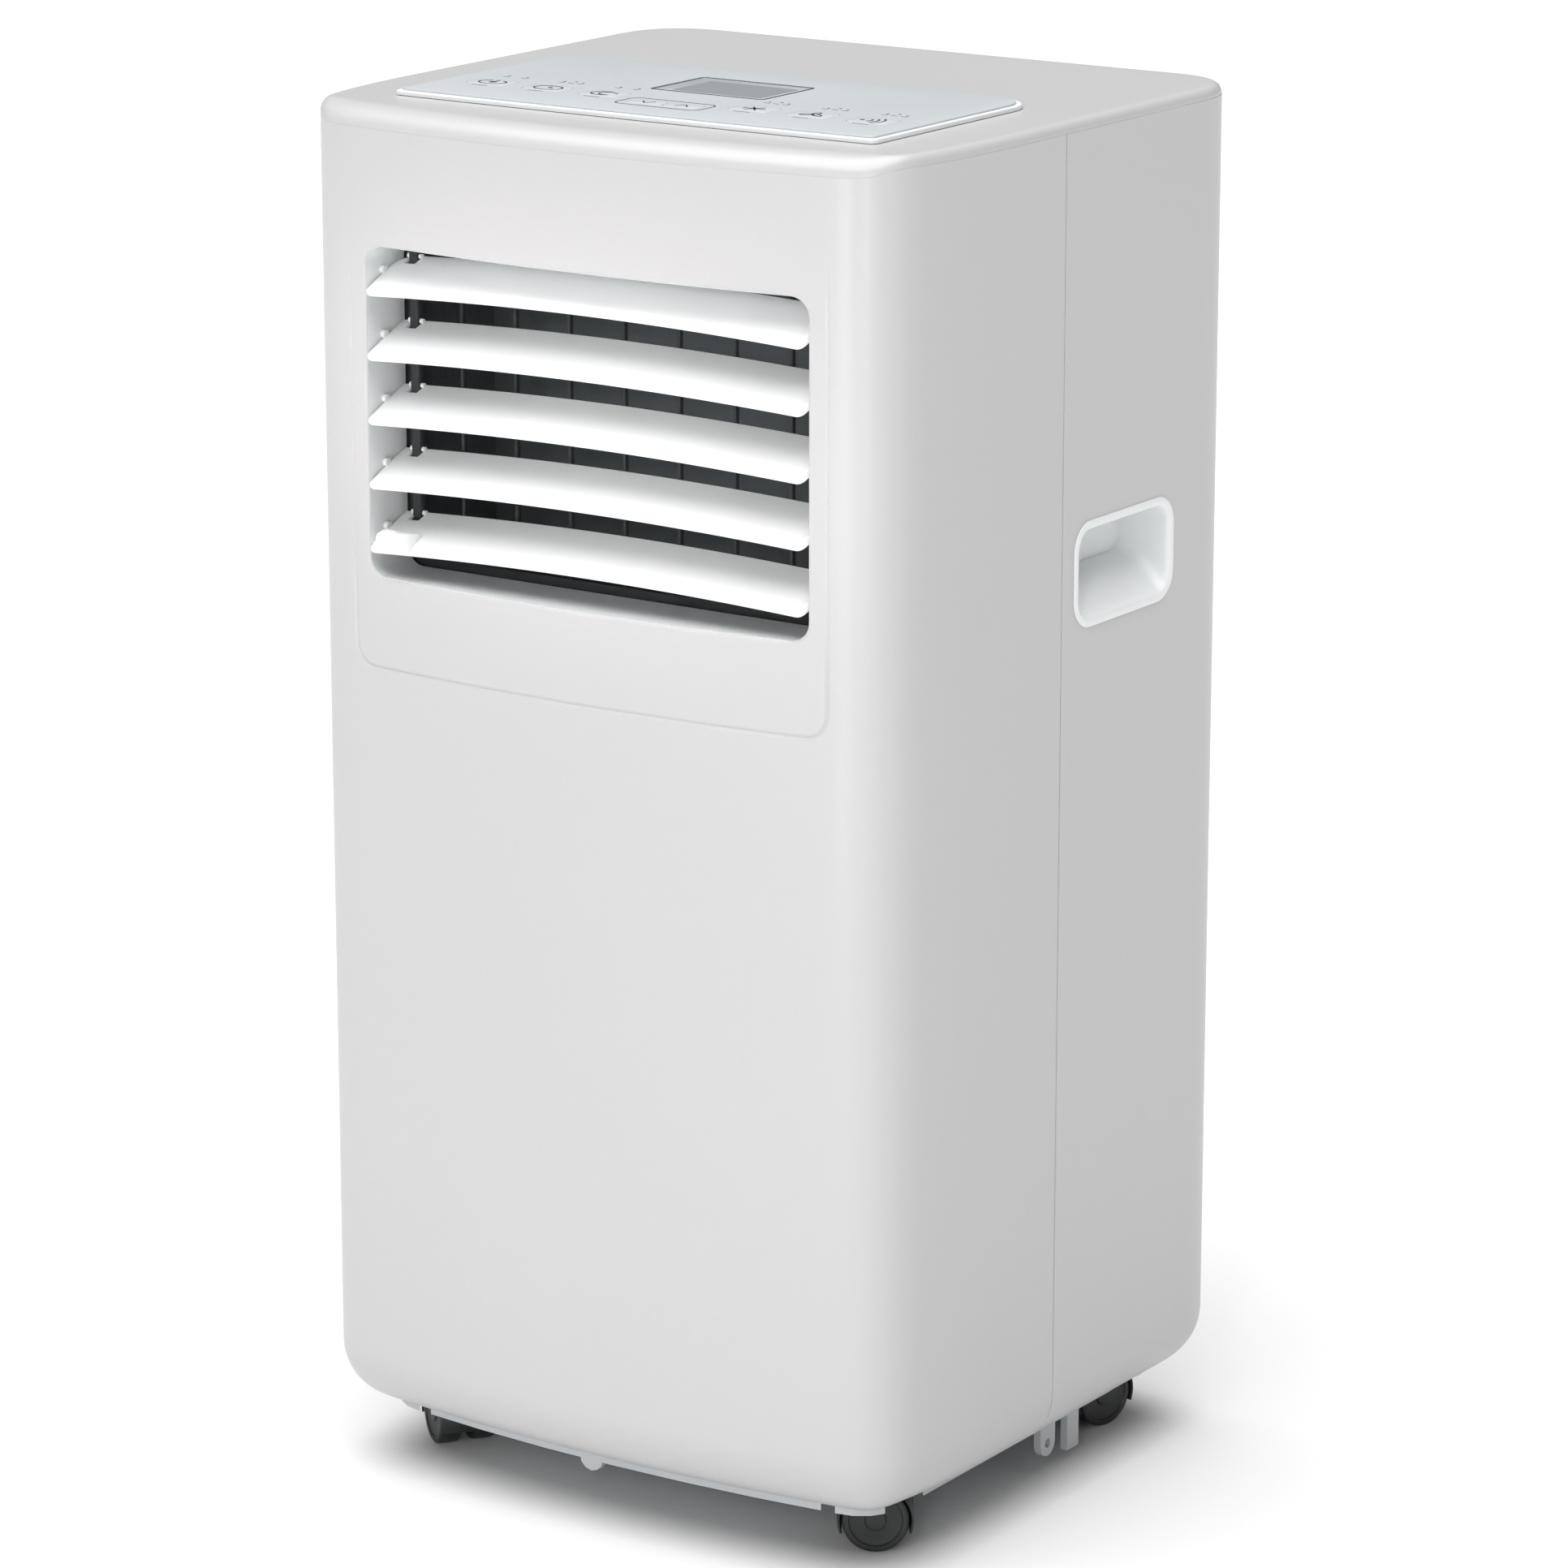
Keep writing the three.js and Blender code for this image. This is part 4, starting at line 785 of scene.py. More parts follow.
def top_cover():
    """The rounded top edge all round, and the flat top with the opening under the control plate."""
    whole = plan().whole
    half = rows((0, 110 * MM, 8 * MM), (110 * MM, 260 * MM, 2 * MM), (260 * MM, whole - 150 * MM, 8 * MM),
                (whole - 150 * MM, whole - 100 * MM, 2.5 * MM), (whole - 100 * MM, whole, 10 * MM))
    columns = half + [-s for s in reversed(half[1:-1])]
    rings = [[skin_point(s, COVER_EDGE, TOP_Z - roll_of(s)[1]) for s in columns]]
    for t in (0.1, 0.22, 0.34, 0.46, 0.57, 0.67, 0.76, 0.84, 0.9, 0.95, 1.0):
        a = math.pi / 2 * t
        ring = []
        for s in columns:
            depth, drop = roll_of(s)
            ring.append(skin_point(s, depth * (1 - math.cos(a)), TOP_Z - drop * (1 - math.sin(a))))
        rings.append(ring)
    # the opening's edge, each point straight in from the rim
    half_x, low_y, high_y = PANEL_X - 12 * MM, PANEL_Y[0] + 10 * MM, PANEL_Y[1] - 10 * MM
    middle = (low_y + high_y) / 2
    rim, hole = rings[-1], []
    for p in rim:
        reach = max(abs(p.x) / half_x, abs(p.y - middle) / (high_y - middle))
        hole.append(Vector((p.x / reach, middle + (p.y - middle) / reach, TOP_Z)))
    rings += [[mix(p, q, t) for p, q in zip(rim, hole)] for t in (0.08, 0.5)]
    rings.append(hole)
    piece = mesh_object("top_cover_shell", *loft(rings))
    face_out(piece)
    if piece.data.polygons[len(columns) * 5].normal.z < 0:
        piece.data.flip_normals()
    thicken(piece)
    smooth(piece, 34)
    return finish_piece(piece, CABINET, "white_casing", casing_abs(), "top_cover")


# ---------------------------------------------------------------- outlet
FRAME_REAR = -129 * MM
TILT = math.radians(24)


def joint_named(name):
    return next(j for j in frame["joints"] if j["name"] == name)


def front_y(x):
    """Where the cabinet's front stands, at a place across it."""
    s = plan().distance(lambda px, py: px >= abs(x))
    return plan().at(s)[1]


def outlet_frame():
    """The tube behind the outlet's lip; its front edge follows the cabinet's crown."""
    space = 0.08 * MM  # inside the casing's opening
    inner_line = rounded_rect((-WINDOW_X + space, WINDOW_X - space),
                              (WINDOW_Z[0] + space, WINDOW_Z[1] - space), WINDOW_R - space, 14)
    inner_line = fill_outline(inner_line, 8 * MM)
    outer_line = grown(inner_line, 2.8 * MM)
    depths = [0.0, 0.25, 0.5, 0.75, 1.0]
    start = lambda x: front_y(min(abs(x), WINDOW_X)) + 1.35 * MM
    inner = [[Vector((x, mix(start(x), FRAME_REAR, t), z)) for x, z in inner_line] for t in depths]
    outer = [[Vector((x, mix(start(x) + 0.5 * MM, FRAME_REAR, t), z)) for x, z in outer_line]
             for t in reversed(depths)]
    rings = inner + outer + [inner[0]]
    return solid_piece("outlet_frame_tube", loft(rings), CABINET, "white_trim", trim_abs_painted_light(), "outlet_frame",
                       angle=40)


def fill_outline(points, step):
    """A closed outline with its long sides divided."""
    filled = []
    for a, b in zip(points, points[1:] + points[:1]):
        n = max(int(math.dist(a, b) / step), 1)
        filled += [(mix(a[0], b[0], i / n), mix(a[1], b[1], i / n)) for i in range(n)]
    return filled


def grown(points, grow):
    """The same outline grown outwards point for point."""
    moved = []
    n = len(points)
    for i, p in enumerate(points):
        before, after = points[i - 1], points[(i + 1) % n]
        along = Vector((after[0] - before[0], after[1] - before[1])).normalized()
        moved.append((p[0] + along.y * grow, p[1] - along.x * grow))
    return moved


def outlet_guard():
    """Upright bars with rounded edges, in a thin rim."""
    lo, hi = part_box("outlet_guard")
    rim, bar, columns = 5 * MM, 0.9 * MM, 8
    outer = rounded_rect((lo.x, hi.x), (lo.z, hi.z), WINDOW_R, 8)
    inner = rounded_rect((lo.x + rim, hi.x - rim), (lo.z + rim, hi.z - rim), WINDOW_R - 4 * MM, 8)
    turns = ((outer, lo.y), (outer, hi.y), (inner, hi.y), (inner, lo.y), (outer, lo.y))
    parts = [loft([[Vector((x, y, z)) for x, z in line] for line, y in turns])]
    for i in range(1, columns):
        x = WINDOW_X * (2 * i / columns - 1)
        section = rounded_rect((x - bar, x + bar), (lo.y, hi.y), 0.5 * MM, 3)
        rings = [[Vector((a, b, z)) for a, b in section] for z in (lo.z + 3 * MM, hi.z - 3 * MM)]
        parts.append(loft(rings, cap=(True, True)))
    return solid_piece("outlet_guard_bars", merge(*parts), CABINET, "dark_plastic", guard_plastic(),
                       "outlet_guard")


BLADE_HALF = 16 * MM  # from a blade's axis to its nose and its rear edge
BLADE_REACH = 128.2 * MM  # from the middle to a blade's end
BLADE_ARCH = 4.3 * MM  # rise of the middle over the ends
END_CURVE = 7 * MM  # where the front lip starts to run up round the right end
TOP_CORNER, TOP_CORNER_START = 9 * MM, 6 * MM  # cut rear corners of the highest blade
CRANK_X, CRANK_ARM = -118 * MM, 14 * MM  # crank pins that the link joins
LOWEST_LOUVRE = 5


def blade_section():
    """The blade's outline in depth and height about its axis, nose first."""
    nose = -BLADE_HALF
    points = []
    # upper face, from the nose to the thin rear edge
    for i in range(13):
        t = i / 12
        z = (1.15 * (1 - t) + 2.6 * t * (1 - t) + 0.55 * t) * MM
        points.append((mix(nose + 1.0 * MM, BLADE_HALF, t), z))
    points += [(BLADE_HALF + 0.25 * MM, 0.2 * MM), (BLADE_HALF, -0.35 * MM)]
    # under face, back to the lip
    for i in range(11):
        t = i / 10
        z = (-0.5 * (1 - t) - 1.1 * t + 1.1 * t * (1 - t)) * MM
        points.append((mix(BLADE_HALF - 0.6 * MM, nose + 2.6 * MM, t), z))
    # the lip that turns down along the nose
    points += [(nose + 1.9 * MM, -1.9 * MM), (nose + 1.5 * MM, -2.8 * MM), (nose + 1.0 * MM, -3.15 * MM),
               (nose + 0.45 * MM, -3.1 * MM), (nose + 0.05 * MM, -2.6 * MM), (nose - 0.05 * MM, -1.4 * MM),
               (nose + 0.02 * MM, -0.2 * MM), (nose + 0.3 * MM, 0.6 * MM)]
    return points


def louvre(index):
    """One blade: arched across, with a turned-down lip that runs up round its right end."""
    _, axis_y, axis_z = joint_named(f"louvre_{index}_tilt")["pos_m"]
    cos, sin = math.cos(TILT), math.sin(TILT)
    spin = lambda x, y, z: Vector((x, axis_y + y * cos - z * sin, axis_z + y * sin + z * cos))
    reach = BLADE_REACH
    stations = rows((-reach, -reach + 2 * MM, 0.5 * MM), (-reach + 2 * MM, reach - 14 * MM, 4 * MM),
                    (reach - 14 * MM, reach, 0.7 * MM))
    section = blade_section()
    rings = []
    for x in stations:
        rise = BLADE_ARCH * (0.4 - (x / reach) ** 2)
        right = max(0.0, (x - (reach - END_CURVE)) / END_CURVE)
        left = max(0.0, (-x - (reach - 1.2 * MM)) / (1.2 * MM))
        corner = max(0.0, (abs(x) - (reach - TOP_CORNER)) / TOP_CORNER)
        ring = []
        for y, z in section:
            front = ease(-y / BLADE_HALF * 1.6 - 0.5)
            if index == 1 and y > TOP_CORNER_START:
                # the highest blade's rear corners are rounded off to clear the outlet's corners
                y = TOP_CORNER_START + (y - TOP_CORNER_START) * math.sqrt(max(1 - corner * corner, 0.05))
            back = (1 - math.sqrt(max(1 - right * right, 0.0))) * 4.5 * MM * front
            lift = 3.4 * MM * right ** 2 * front
            ring.append(spin(x, y + back, z * (1 - 0.35 * left ** 2) + rise + lift))
        rings.append(ring)
    blade = mesh_object(f"louvre_{index}_blade_skin", *loft(rings, cap=(True, True)))
    face_out(blade)
    # the notch that the link runs in
    corners = [(CRANK_X + 0.5 * MM + 3.4 * MM * a, CRANK_ARM + b * MM)
               for a, b in ((-1.15, -6), (0.85, -6), (0.85, 6), (-1.15, 6))]
    carve(blade, prism(lambda inset: corners, spin, -9 * MM, 9 * MM))
    joined = [([v.co.copy() for v in blade.data.vertices], [tuple(p.vertices) for p in blade.data.polygons])]
    bpy.data.objects.remove(blade)
    points, faces = turned([(2.0 * MM, 0), (2.0 * MM, 4.6 * MM), (1.6 * MM, 5.0 * MM)], (0, 0, 0), X, 24)
    for side in (-1, 1):
        end = side * (reach - 1.5 * MM)
        joined.append(([Vector((end + side * p.x, axis_y + p.y, axis_z + p.z)) for p in points], faces))
    if index == LOWEST_LOUVRE:
        joined.append(thumb_tab(spin))
    points, faces = turned([(1.2 * MM, -4.4 * MM), (1.2 * MM, 4.4 * MM)], (0, 0, 0), X, 16)
    joined.append(([spin(CRANK_X + p.x, CRANK_ARM + p.y, p.z) for p in points], faces))
    return solid_piece(f"louvre_{index}_vane", merge(*joined), f"louvre_{index}_blade", "louvre_white",
                       louvre_abs_painted_light(), f"louvre_{index}", angle=38)


def louvre_abs_painted_light():
    # ABS, moulded in a polished tool and thin; its colour is painted a shade brighter than the casing's, as
    # painted light on the louvres inside the outlet
    return shader("abs_moulded_louvre_white_painted_light", colours().louvre, 0.36, 1.53, tint="#F3F4F4", tint_size=70 * MM,
                  grain=2.0 * MM, grain_depth=0.004 * MM)


def thumb_tab(spin):
    """A rounded block on the lowest blade, with a thumb notch in its top."""
    rings = []
    for i in range(11):
        t = i / 10
        x = mix(-124 * MM, -103 * MM, t)
        swell = math.sqrt(max(1 - abs(2 * t - 1) ** 4, 0.0))
        dip = 1.6 * math.exp(-((t - 0.62) / 0.16) ** 2)
        high = 2.5 + 5.0 * swell - dip
        profile = [(-17.2, -1.2), (-17.4, 3.0), (-16.6, high - 1), (-15.2, high), (-11.0, high - 0.6),
                   (-6.8, 3.0), (-5.0, 1.2), (-5.2, -0.4)]
        rings.append([spin(x, a * MM, b * MM) for a, b in profile])
    return loft(rings, cap=(True, True))


def louvre_link():
    """The upright rod that joins the louvres' crank pins, its ends rounded."""
    lo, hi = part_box("louvre_link")
    rings = []
    for z, inset in ((lo.z, 0.8 * MM), (lo.z + 0.3 * MM, 0.3 * MM), (lo.z + 1 * MM, 0), (hi.z - 1 * MM, 0),
                     (hi.z - 0.3 * MM, 0.3 * MM), (hi.z, 0.8 * MM)):
        ring = rounded_rect((lo.x + inset, hi.x - inset), (lo.y + inset, hi.y - inset), 1.2 * MM, 5)
        rings.append([Vector((a, b, z)) for a, b in ring])
    return solid_piece("louvre_link_rod", loft(rings, cap=(True, True)), "louvre_link_bar", "dark_plastic",
                       guard_plastic(), "louvre_link")


# ---------------------------------------------------------------- control panel
PLATE_Z, FOIL_Z = (700.3 * MM, 702.5 * MM), (702.6 * MM, 703.4 * MM)
FOIL_MARGIN = 2.2 * MM  # of the plate that shows round the overlay
KEY_TOP = 703.5 * MM
PRINT_SINK, PRINT_RISE = 0.05 * MM, 0.08 * MM  # of a printed layer into and over its surface
DISPLAY_X, DISPLAY_Y = (-34 * MM, 30 * MM), (-52 * MM, -8 * MM)


def panel_outline(shrink):
    """Bowed a little at the front, with large round corners at the rear."""
    w, f, b = PANEL_X - shrink, PANEL_Y[0] + shrink, PANEL_Y[1] - shrink
    q, r = 4 * MM, 22 * MM
    front = [(mix(-w + q, w - q, i / 30), f - 1.5 * MM * (1 - (2 * i / 30 - 1) ** 2)) for i in range(31)]
    return (front + arc((w - q, f + q), q, -90, 0, 6)[1:] + arc((w - r, b - r), r, 0, 90, 14)
            + arc((-w + r, b - r), r, 90, 180, 14) + arc((-w + q, f + q), q, 180, 270, 6)[:-1])


def flat(a, b, h):
    return Vector((a, b, h))


def key_places():
    """name: (x, y, width, depth) of each key's pad, from the frame."""
    places = {}
    for name in sorted(frame["nodes"]):
        if name.startswith("key_"):
            lo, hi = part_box(name)
            places[name] = ((lo.x + hi.x) / 2, (lo.y + hi.y) / 2, hi.x - lo.x, hi.y - lo.y)
    return places


def pad_outline(x, y, w, d, grow):
    return lambda inset: rounded_rect((x - w / 2 - grow + inset, x + w / 2 + grow - inset),
                                      (y - d / 2 - grow + inset, y + d / 2 + grow - inset),
                                      3 * MM + grow - inset, 6)


def control_layer(name, shrink, heights, edge, slot, material, node):
    """The control plate or its overlay, with openings for the keys and the display."""
    piece = mesh_object(name, *prism(lambda inset: panel_outline(shrink + inset), flat, *heights, edge, 4))
    face_out(piece)
    cut = (heights[0] - MM, heights[1] + MM)
    holes = [prism(pad_outline(*place, 0.25 * MM), flat, *cut) for place in key_places().values()]
    holes.append(prism(rect_outline(DISPLAY_X, DISPLAY_Y, 2 * MM, 6), flat, *cut))
    carve(piece, *holes)
    smooth(piece, 32)
    return finish_piece(piece, CABINET, slot, material, node)


def control_plate():
    return control_layer("control_plate_raised", 0, PLATE_Z, 0.9 * MM, "white_trim", trim_abs_painted_light(),
                         "control_plate")


def control_overlay():
    return control_layer("control_overlay", FOIL_MARGIN, FOIL_Z, 0.3 * MM, "foil_grey", overlay_polyester(),
                         "control_foil")


def ribbon(points, width, low, high, closed=True):
    """A flat printed line of even width along points in plan."""
    n = len(points)
    left, right = [], []
    for i, p in enumerate(points):
        before = points[(i - 1) % n] if closed or i else points[0]
        after = points[(i + 1) % n] if closed or i < n - 1 else points[-1]
        along = Vector((after[0] - before[0], after[1] - before[1]))
        along = along.normalized() if along.length > 1e-9 else Vector((1, 0))
        left.append((p[0] - along.y * width / 2, p[1] + along.x * width / 2))
        right.append((p[0] + along.y * width / 2, p[1] - along.x * width / 2))
    rings = []
    for a, b in zip(left, right):
        rings.append([Vector((*a, low)), Vector((*b, low)), Vector((*b, high)), Vector((*a, high))])
    if closed:
        rings.append(rings[0])
    return loft(rings, cap=(not closed, not closed))


def spot(x, y, r, low, high, steps=20):
    return prism(disc_outline((x, y), r, steps), flat, low, high)


def ellipse(x, y, a, b, start=0, end=360, turn=0, steps=36):
    points = []
    count = steps if end - start >= 360 else steps + 1
    c, s = math.cos(math.radians(turn)), math.sin(math.radians(turn))
    for i in range(count):
        t = math.radians(mix(start, end, i / steps))
        u, v = a * math.cos(t), b * math.sin(t)
        points.append((x + u * c - v * s, y + u * s + v * c))
    return points


def icon(name, x, y):
    """A plain symbol in thin printed lines."""
    low, high, w = KEY_TOP - PRINT_SINK, KEY_TOP + PRINT_RISE, 1.0 * MM
    line = lambda points, closed=False, width=w: ribbon(points, width, low, high, closed)
    ring = line(ellipse(x, y, 7.6 * MM, 5.6 * MM), True)
    if name == "key_power":
        return merge(line(ellipse(x, y, 7.4 * MM, 5.4 * MM, 115, 425)),
                     spot(x, y + 0.3 * MM, 2.1 * MM, low, high),
                     line([(x, y + 3 * MM), (x, y + 6.4 * MM)], width=1.1 * MM))
    if name == "key_timer":
        return merge(ring, line([(x, y + 3.4 * MM), (x, y), (x + 3.2 * MM, y - 0.9 * MM)]))
    if name == "key_sleep":
        return merge(line(ellipse(x - 0.8 * MM, y, 6.4 * MM, 5.2 * MM, 50, 320)),
                     line(ellipse(x + 2.0 * MM, y + 0.4 * MM, 5.0 * MM, 4.0 * MM, 80, 285)),
                     spot(x + 5.4 * MM, y + 2.4 * MM, 0.9 * MM, low, high))
    if name == "key_mode":
        spokes = [line([(x - 6.6 * MM * math.cos(a), y - 5.2 * MM * math.sin(a)),
                        (x + 6.6 * MM * math.cos(a), y + 5.2 * MM * math.sin(a))])
                  for a in (0, math.pi / 3, 2 * math.pi / 3)]
        return merge(*spokes, spot(x, y, 1.6 * MM, low, high))
    if name == "key_fan_speed":
        blades = []
        for turn in (90, 210, 330):
            a = math.radians(turn)
            hub_x, hub_y = x + 3.6 * MM * math.cos(a), y + 2.9 * MM * math.sin(a)
            blades.append(line(ellipse(hub_x, hub_y, 3.1 * MM, 1.6 * MM, turn=turn), True))
        return merge(*blades, spot(x, y, 1.1 * MM, low, high))
    if name == "key_swing":
        start = x - 6 * MM
        waves = [line(ellipse(start, y, r * MM, 0.85 * r * MM, -42, 42)) for r in (5.2, 8.4, 11.6)]
        return merge(*waves, spot(start, y, 1.2 * MM, low, high))
    up = 1 if name.endswith("up") else -1
    foot = y - 2.2 * MM * up
    return line([(x - 3.6 * MM, foot), (x, y + 2.6 * MM * up), (x + 3.6 * MM, foot)])


def keys():
    """Eight sprung keys: a rounded pad on a stem, and a printed symbol."""
    for name, (x, y, w, d) in key_places().items():
        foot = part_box(name)[0].z
        body = name.removeprefix("key_") + "_key"
        pad = prism(pad_outline(x, y, w, d, 0), flat, 701.2 * MM, KEY_TOP, 0.35 * MM, 4)
        stem = prism(disc_outline((x, y), 3 * MM, 24), flat, foot, 701.4 * MM)
        solid_piece(name + "_pad", merge(pad, stem), body, "key_grey", key_polyester(), name)
        solid_piece(name + "_icon", icon(name, x, y), body, "key_grey", printed_ink())


def panel_print():
    """Printed frame lines, indicator windows and the border of the display."""
    low, high = FOIL_Z[1] - PRINT_SINK, FOIL_Z[1] + PRINT_RISE
    dash = lambda x, y, half: ribbon([(x - half, y), (x + half, y)], 0.5 * MM, low, high, False)
    edge = 0.9 * MM
    border = rounded_rect((DISPLAY_X[0] - edge, DISPLAY_X[1] + edge),
                          (DISPLAY_Y[0] - edge, DISPLAY_Y[1] + edge), 2.4 * MM, 6)
    parts = [ribbon(border, 1.5 * MM, low, high)]
    places = key_places()
    for name, (x, y, w, d) in places.items():
        if "temperature" in name:
            continue
        lamps = (0, 2) if name in ("key_power", "key_sleep") else (0, 1, 2)
        for k in lamps:
            at = x + (k - 1) * 5.5 * MM
            parts.append(spot(at, y + d / 2 + 14 * MM + 2 * MM * (k % 2), 0.75 * MM, low, high, 14))
            parts.append(dash(at, y + d / 2 + 11 * MM, 1.7 * MM))
        parts.append(dash(x, y - d / 2 - 3.4 * MM, 4.5 * MM))
    # one line round the two temperature keys
    y = places["key_temperature_up"][1]
    pair = rounded_rect((-24.5 * MM, 24.5 * MM), (y - 10 * MM, y + 10 * MM), 5 * MM, 6)
    parts.append(ribbon(pair, 0.8 * MM, low, high))
    return solid_piece("panel_printing", merge(*parts), CABINET, "foil_grey", printed_ink())


def display():
    """The display's lens, and the darker field that shows through it."""
    space = 0.25 * MM
    lens = rect_outline((DISPLAY_X[0] + space, DISPLAY_X[1] - space),
                        (DISPLAY_Y[0] + space, DISPLAY_Y[1] - space), 1.8 * MM, 6)
    solid_piece("display_lens", prism(lens, flat, 700.9 * MM, 703.2 * MM, 0.25 * MM), CABINET, "lens_grey",
                lens_surround(), "display_window")
    field = rect_outline((DISPLAY_X[0] + 9 * MM, DISPLAY_X[1] - 3 * MM),
                         (DISPLAY_Y[0] + 3 * MM, DISPLAY_Y[1] - 7 * MM), 1 * MM, 4)
    solid_piece("display_field", prism(field, flat, 703.1 * MM, 703.3 * MM), CABINET, "lens_grey",
                lens_acrylic())


def lens_surround():
    # Acrylic lens, its back printed light grey round the display's field
    return shader("acrylic_lens_printed_light", "#BCC1C3", 0.2, 1.49, tint="#B7BCBE", tint_size=30 * MM,
                  grain=3 * MM, grain_depth=0.002 * MM, rough_spread=0.02)


# ---------------------------------------------------------------- side grips
def grip_well(side):
    """A finger recess: a rolled bezel, a bulging ramp below and a flat back."""
    name = "right" if side > 0 else "left"
    (y0, y1), (z0, z1) = GRIP_Y, GRIP_Z

    def ring(out, inset, ramp=0.0):
        """One outline of the recess, out from the side wall; ramp lifts its lower edge."""
        radius = max(GRIP_R - inset, 1.5 * MM)
        line = rounded_rect((y0 + inset, y1 - inset), (z0 + inset, z1 - inset), radius, 12)
        low, span = z0 + inset, z1 - z0 - 2 * inset
        return [Vector((side * (HALF_W + out), y, z + ramp * (1 - (z - low) / span)))
                for y, z in fill_outline(line, 5 * MM)]

    bezel = [(-29, 0.6), (-1.8, 0.4), (0.1, -0.2), (0.1, -3.0), (0.55, -3.0), (0.95, -2.6), (1.15, -1.9),
             (1.15, -0.6), (0.95, 0.3), (0.4, 1.0), (-0.6, 1.6)]
    rings = [ring(out * MM, inset * MM) for out, inset in bezel]
    for i in range(1, 15):
        t = i / 14
        ramp = 17 * MM * math.sin(t * math.pi / 2) ** 1.3
        rings.append(ring((-0.6 - 27.0 * t) * MM, (1.8 + 0.6 * t) * MM, ramp))
    piece = mesh_object(name + "_grip_recess", *loft(rings, cap=(True, True)))
    face_out(piece)
    smooth(piece, 40)
    finish_piece(piece, CABINET, "white_trim", trim_abs_painted_light(), "grip_well_" + name)
    for k, (dy, dz) in enumerate(((9, 8), (15.5, 4.8))):
        base = Vector((side * (HALF_W - 27.0 * MM), y0 + dy * MM, z1 - dz * MM))
        head = turned([(2.3 * MM, 0), (2.3 * MM, 1.0 * MM), (1.8 * MM, 1.5 * MM), (0.9 * MM, 1.2 * MM)],
                      base, X * side, 24)
        solid_piece(f"{name}_grip_screw_{k + 1}", head, CABINET, "rubber_black", rubber())


# ---------------------------------------------------------------- casters
def caster(place):
    """Two wheels on an axle, under an arched hood on a stem."""
    roll = joint_named(place + "_roll")
    centre, axis = Vector(roll["pos_m"]), Vector(roll["axis"]).normalized()
    stem = joint_named(place + "_swivel")["pos_m"]
    stem_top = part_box("caster_yoke_" + place)[1].z
    side = Z.cross(axis).normalized()
    # wheels: a rounded tread and a dished hub either side of the web
    r = centre.z / MM
    profile = [(2.5, 3.2), (r - 1.6, 3.4), (r - 0.5, 3.8), (r - 0.05, 4.8), (r - 0.05, 13.8), (r - 0.5, 14.8),
               (r - 1.4, 15.3), (r - 3.2, 15.3), (r - 3.8, 14.6), (9.0, 14.0), (5.6, 14.2), (5.0, 15.0),
               (3.2, 15.2), (0.8, 15.2)]
    wheels = [turned([(a * MM, h * MM * s) for a, h in profile], centre, axis, 72) for s in (-1, 1)]
    axle = turned([(2.4 * MM, -3.6 * MM), (2.4 * MM, 3.6 * MM)], centre, axis, 24)
    solid_piece(place + "_wheels", merge(*wheels, axle), "wheels_" + place, "dark_plastic", caster_nylon(),
                "caster_wheels_" + place, angle=28)
    # hood: an arched shield over the wheels with rolled ends
    out_r, in_r, half = 19.0 * MM, 17.75 * MM, 15.4 * MM
    section = [(in_r, -half), (in_r, half), (in_r + 0.35 * MM, half + 0.4 * MM),
               (out_r - 0.4 * MM, half + 0.3 * MM), (out_r, half - 0.4 * MM), (out_r, -half + 0.4 * MM),
               (out_r - 0.4 * MM, -half - 0.3 * MM), (in_r + 0.35 * MM, -half - 0.4 * MM)]
    lowest = math.asin((10 * MM - centre.z) / out_r)
    rings = []
    for i in range(49):
        a = mix(lowest, math.pi - lowest, i / 48)
        ray = side * math.cos(a) + Z * math.sin(a)
        rings.append([centre + axis * h + ray * d for d, h in section])
    hood = loft(rings, cap=(True, True))
    # web between the wheels: a round boss and a block up to the hood
    boss_r, web = 9.0 * MM, 2.6 * MM
    boss = turned([(boss_r, -web), (boss_r, web)], centre, axis, 40)
    corners = ((-boss_r, -web), (boss_r, -web), (boss_r, web), (-boss_r, web))
    block = loft([[Vector((*(centre + side * a + axis * b).xy, z)) for a, b in corners]
                  for z in (centre.z, centre.z + 18 * MM)], cap=(True, True))
    top = centre.z + 17.9 * MM
    collar = turned([(8.2 * MM, top), (7.6 * MM, top + 1.4 * MM), (6.6 * MM, top + 2.2 * MM),
                     (6.4 * MM, 39.0 * MM), (4.0 * MM, 39.4 * MM), (4.0 * MM, stem_top - 0.8 * MM),
                     (3.3 * MM, stem_top)], (stem[0], stem[1], 0), Z, 48)
    return solid_piece(place + "_yoke", merge(hood, boss, block, collar), "caster_" + place, "dark_plastic",
                       caster_nylon(), "caster_yoke_" + place, angle=36)


# ---------------------------------------------------------------- rear fittings
def upright(line, low, high):
    """A bar of the given plan outline between two heights."""
    return loft([[Vector((x, y, z)) for x, y in line] for z in (low, high)], cap=(True, True))


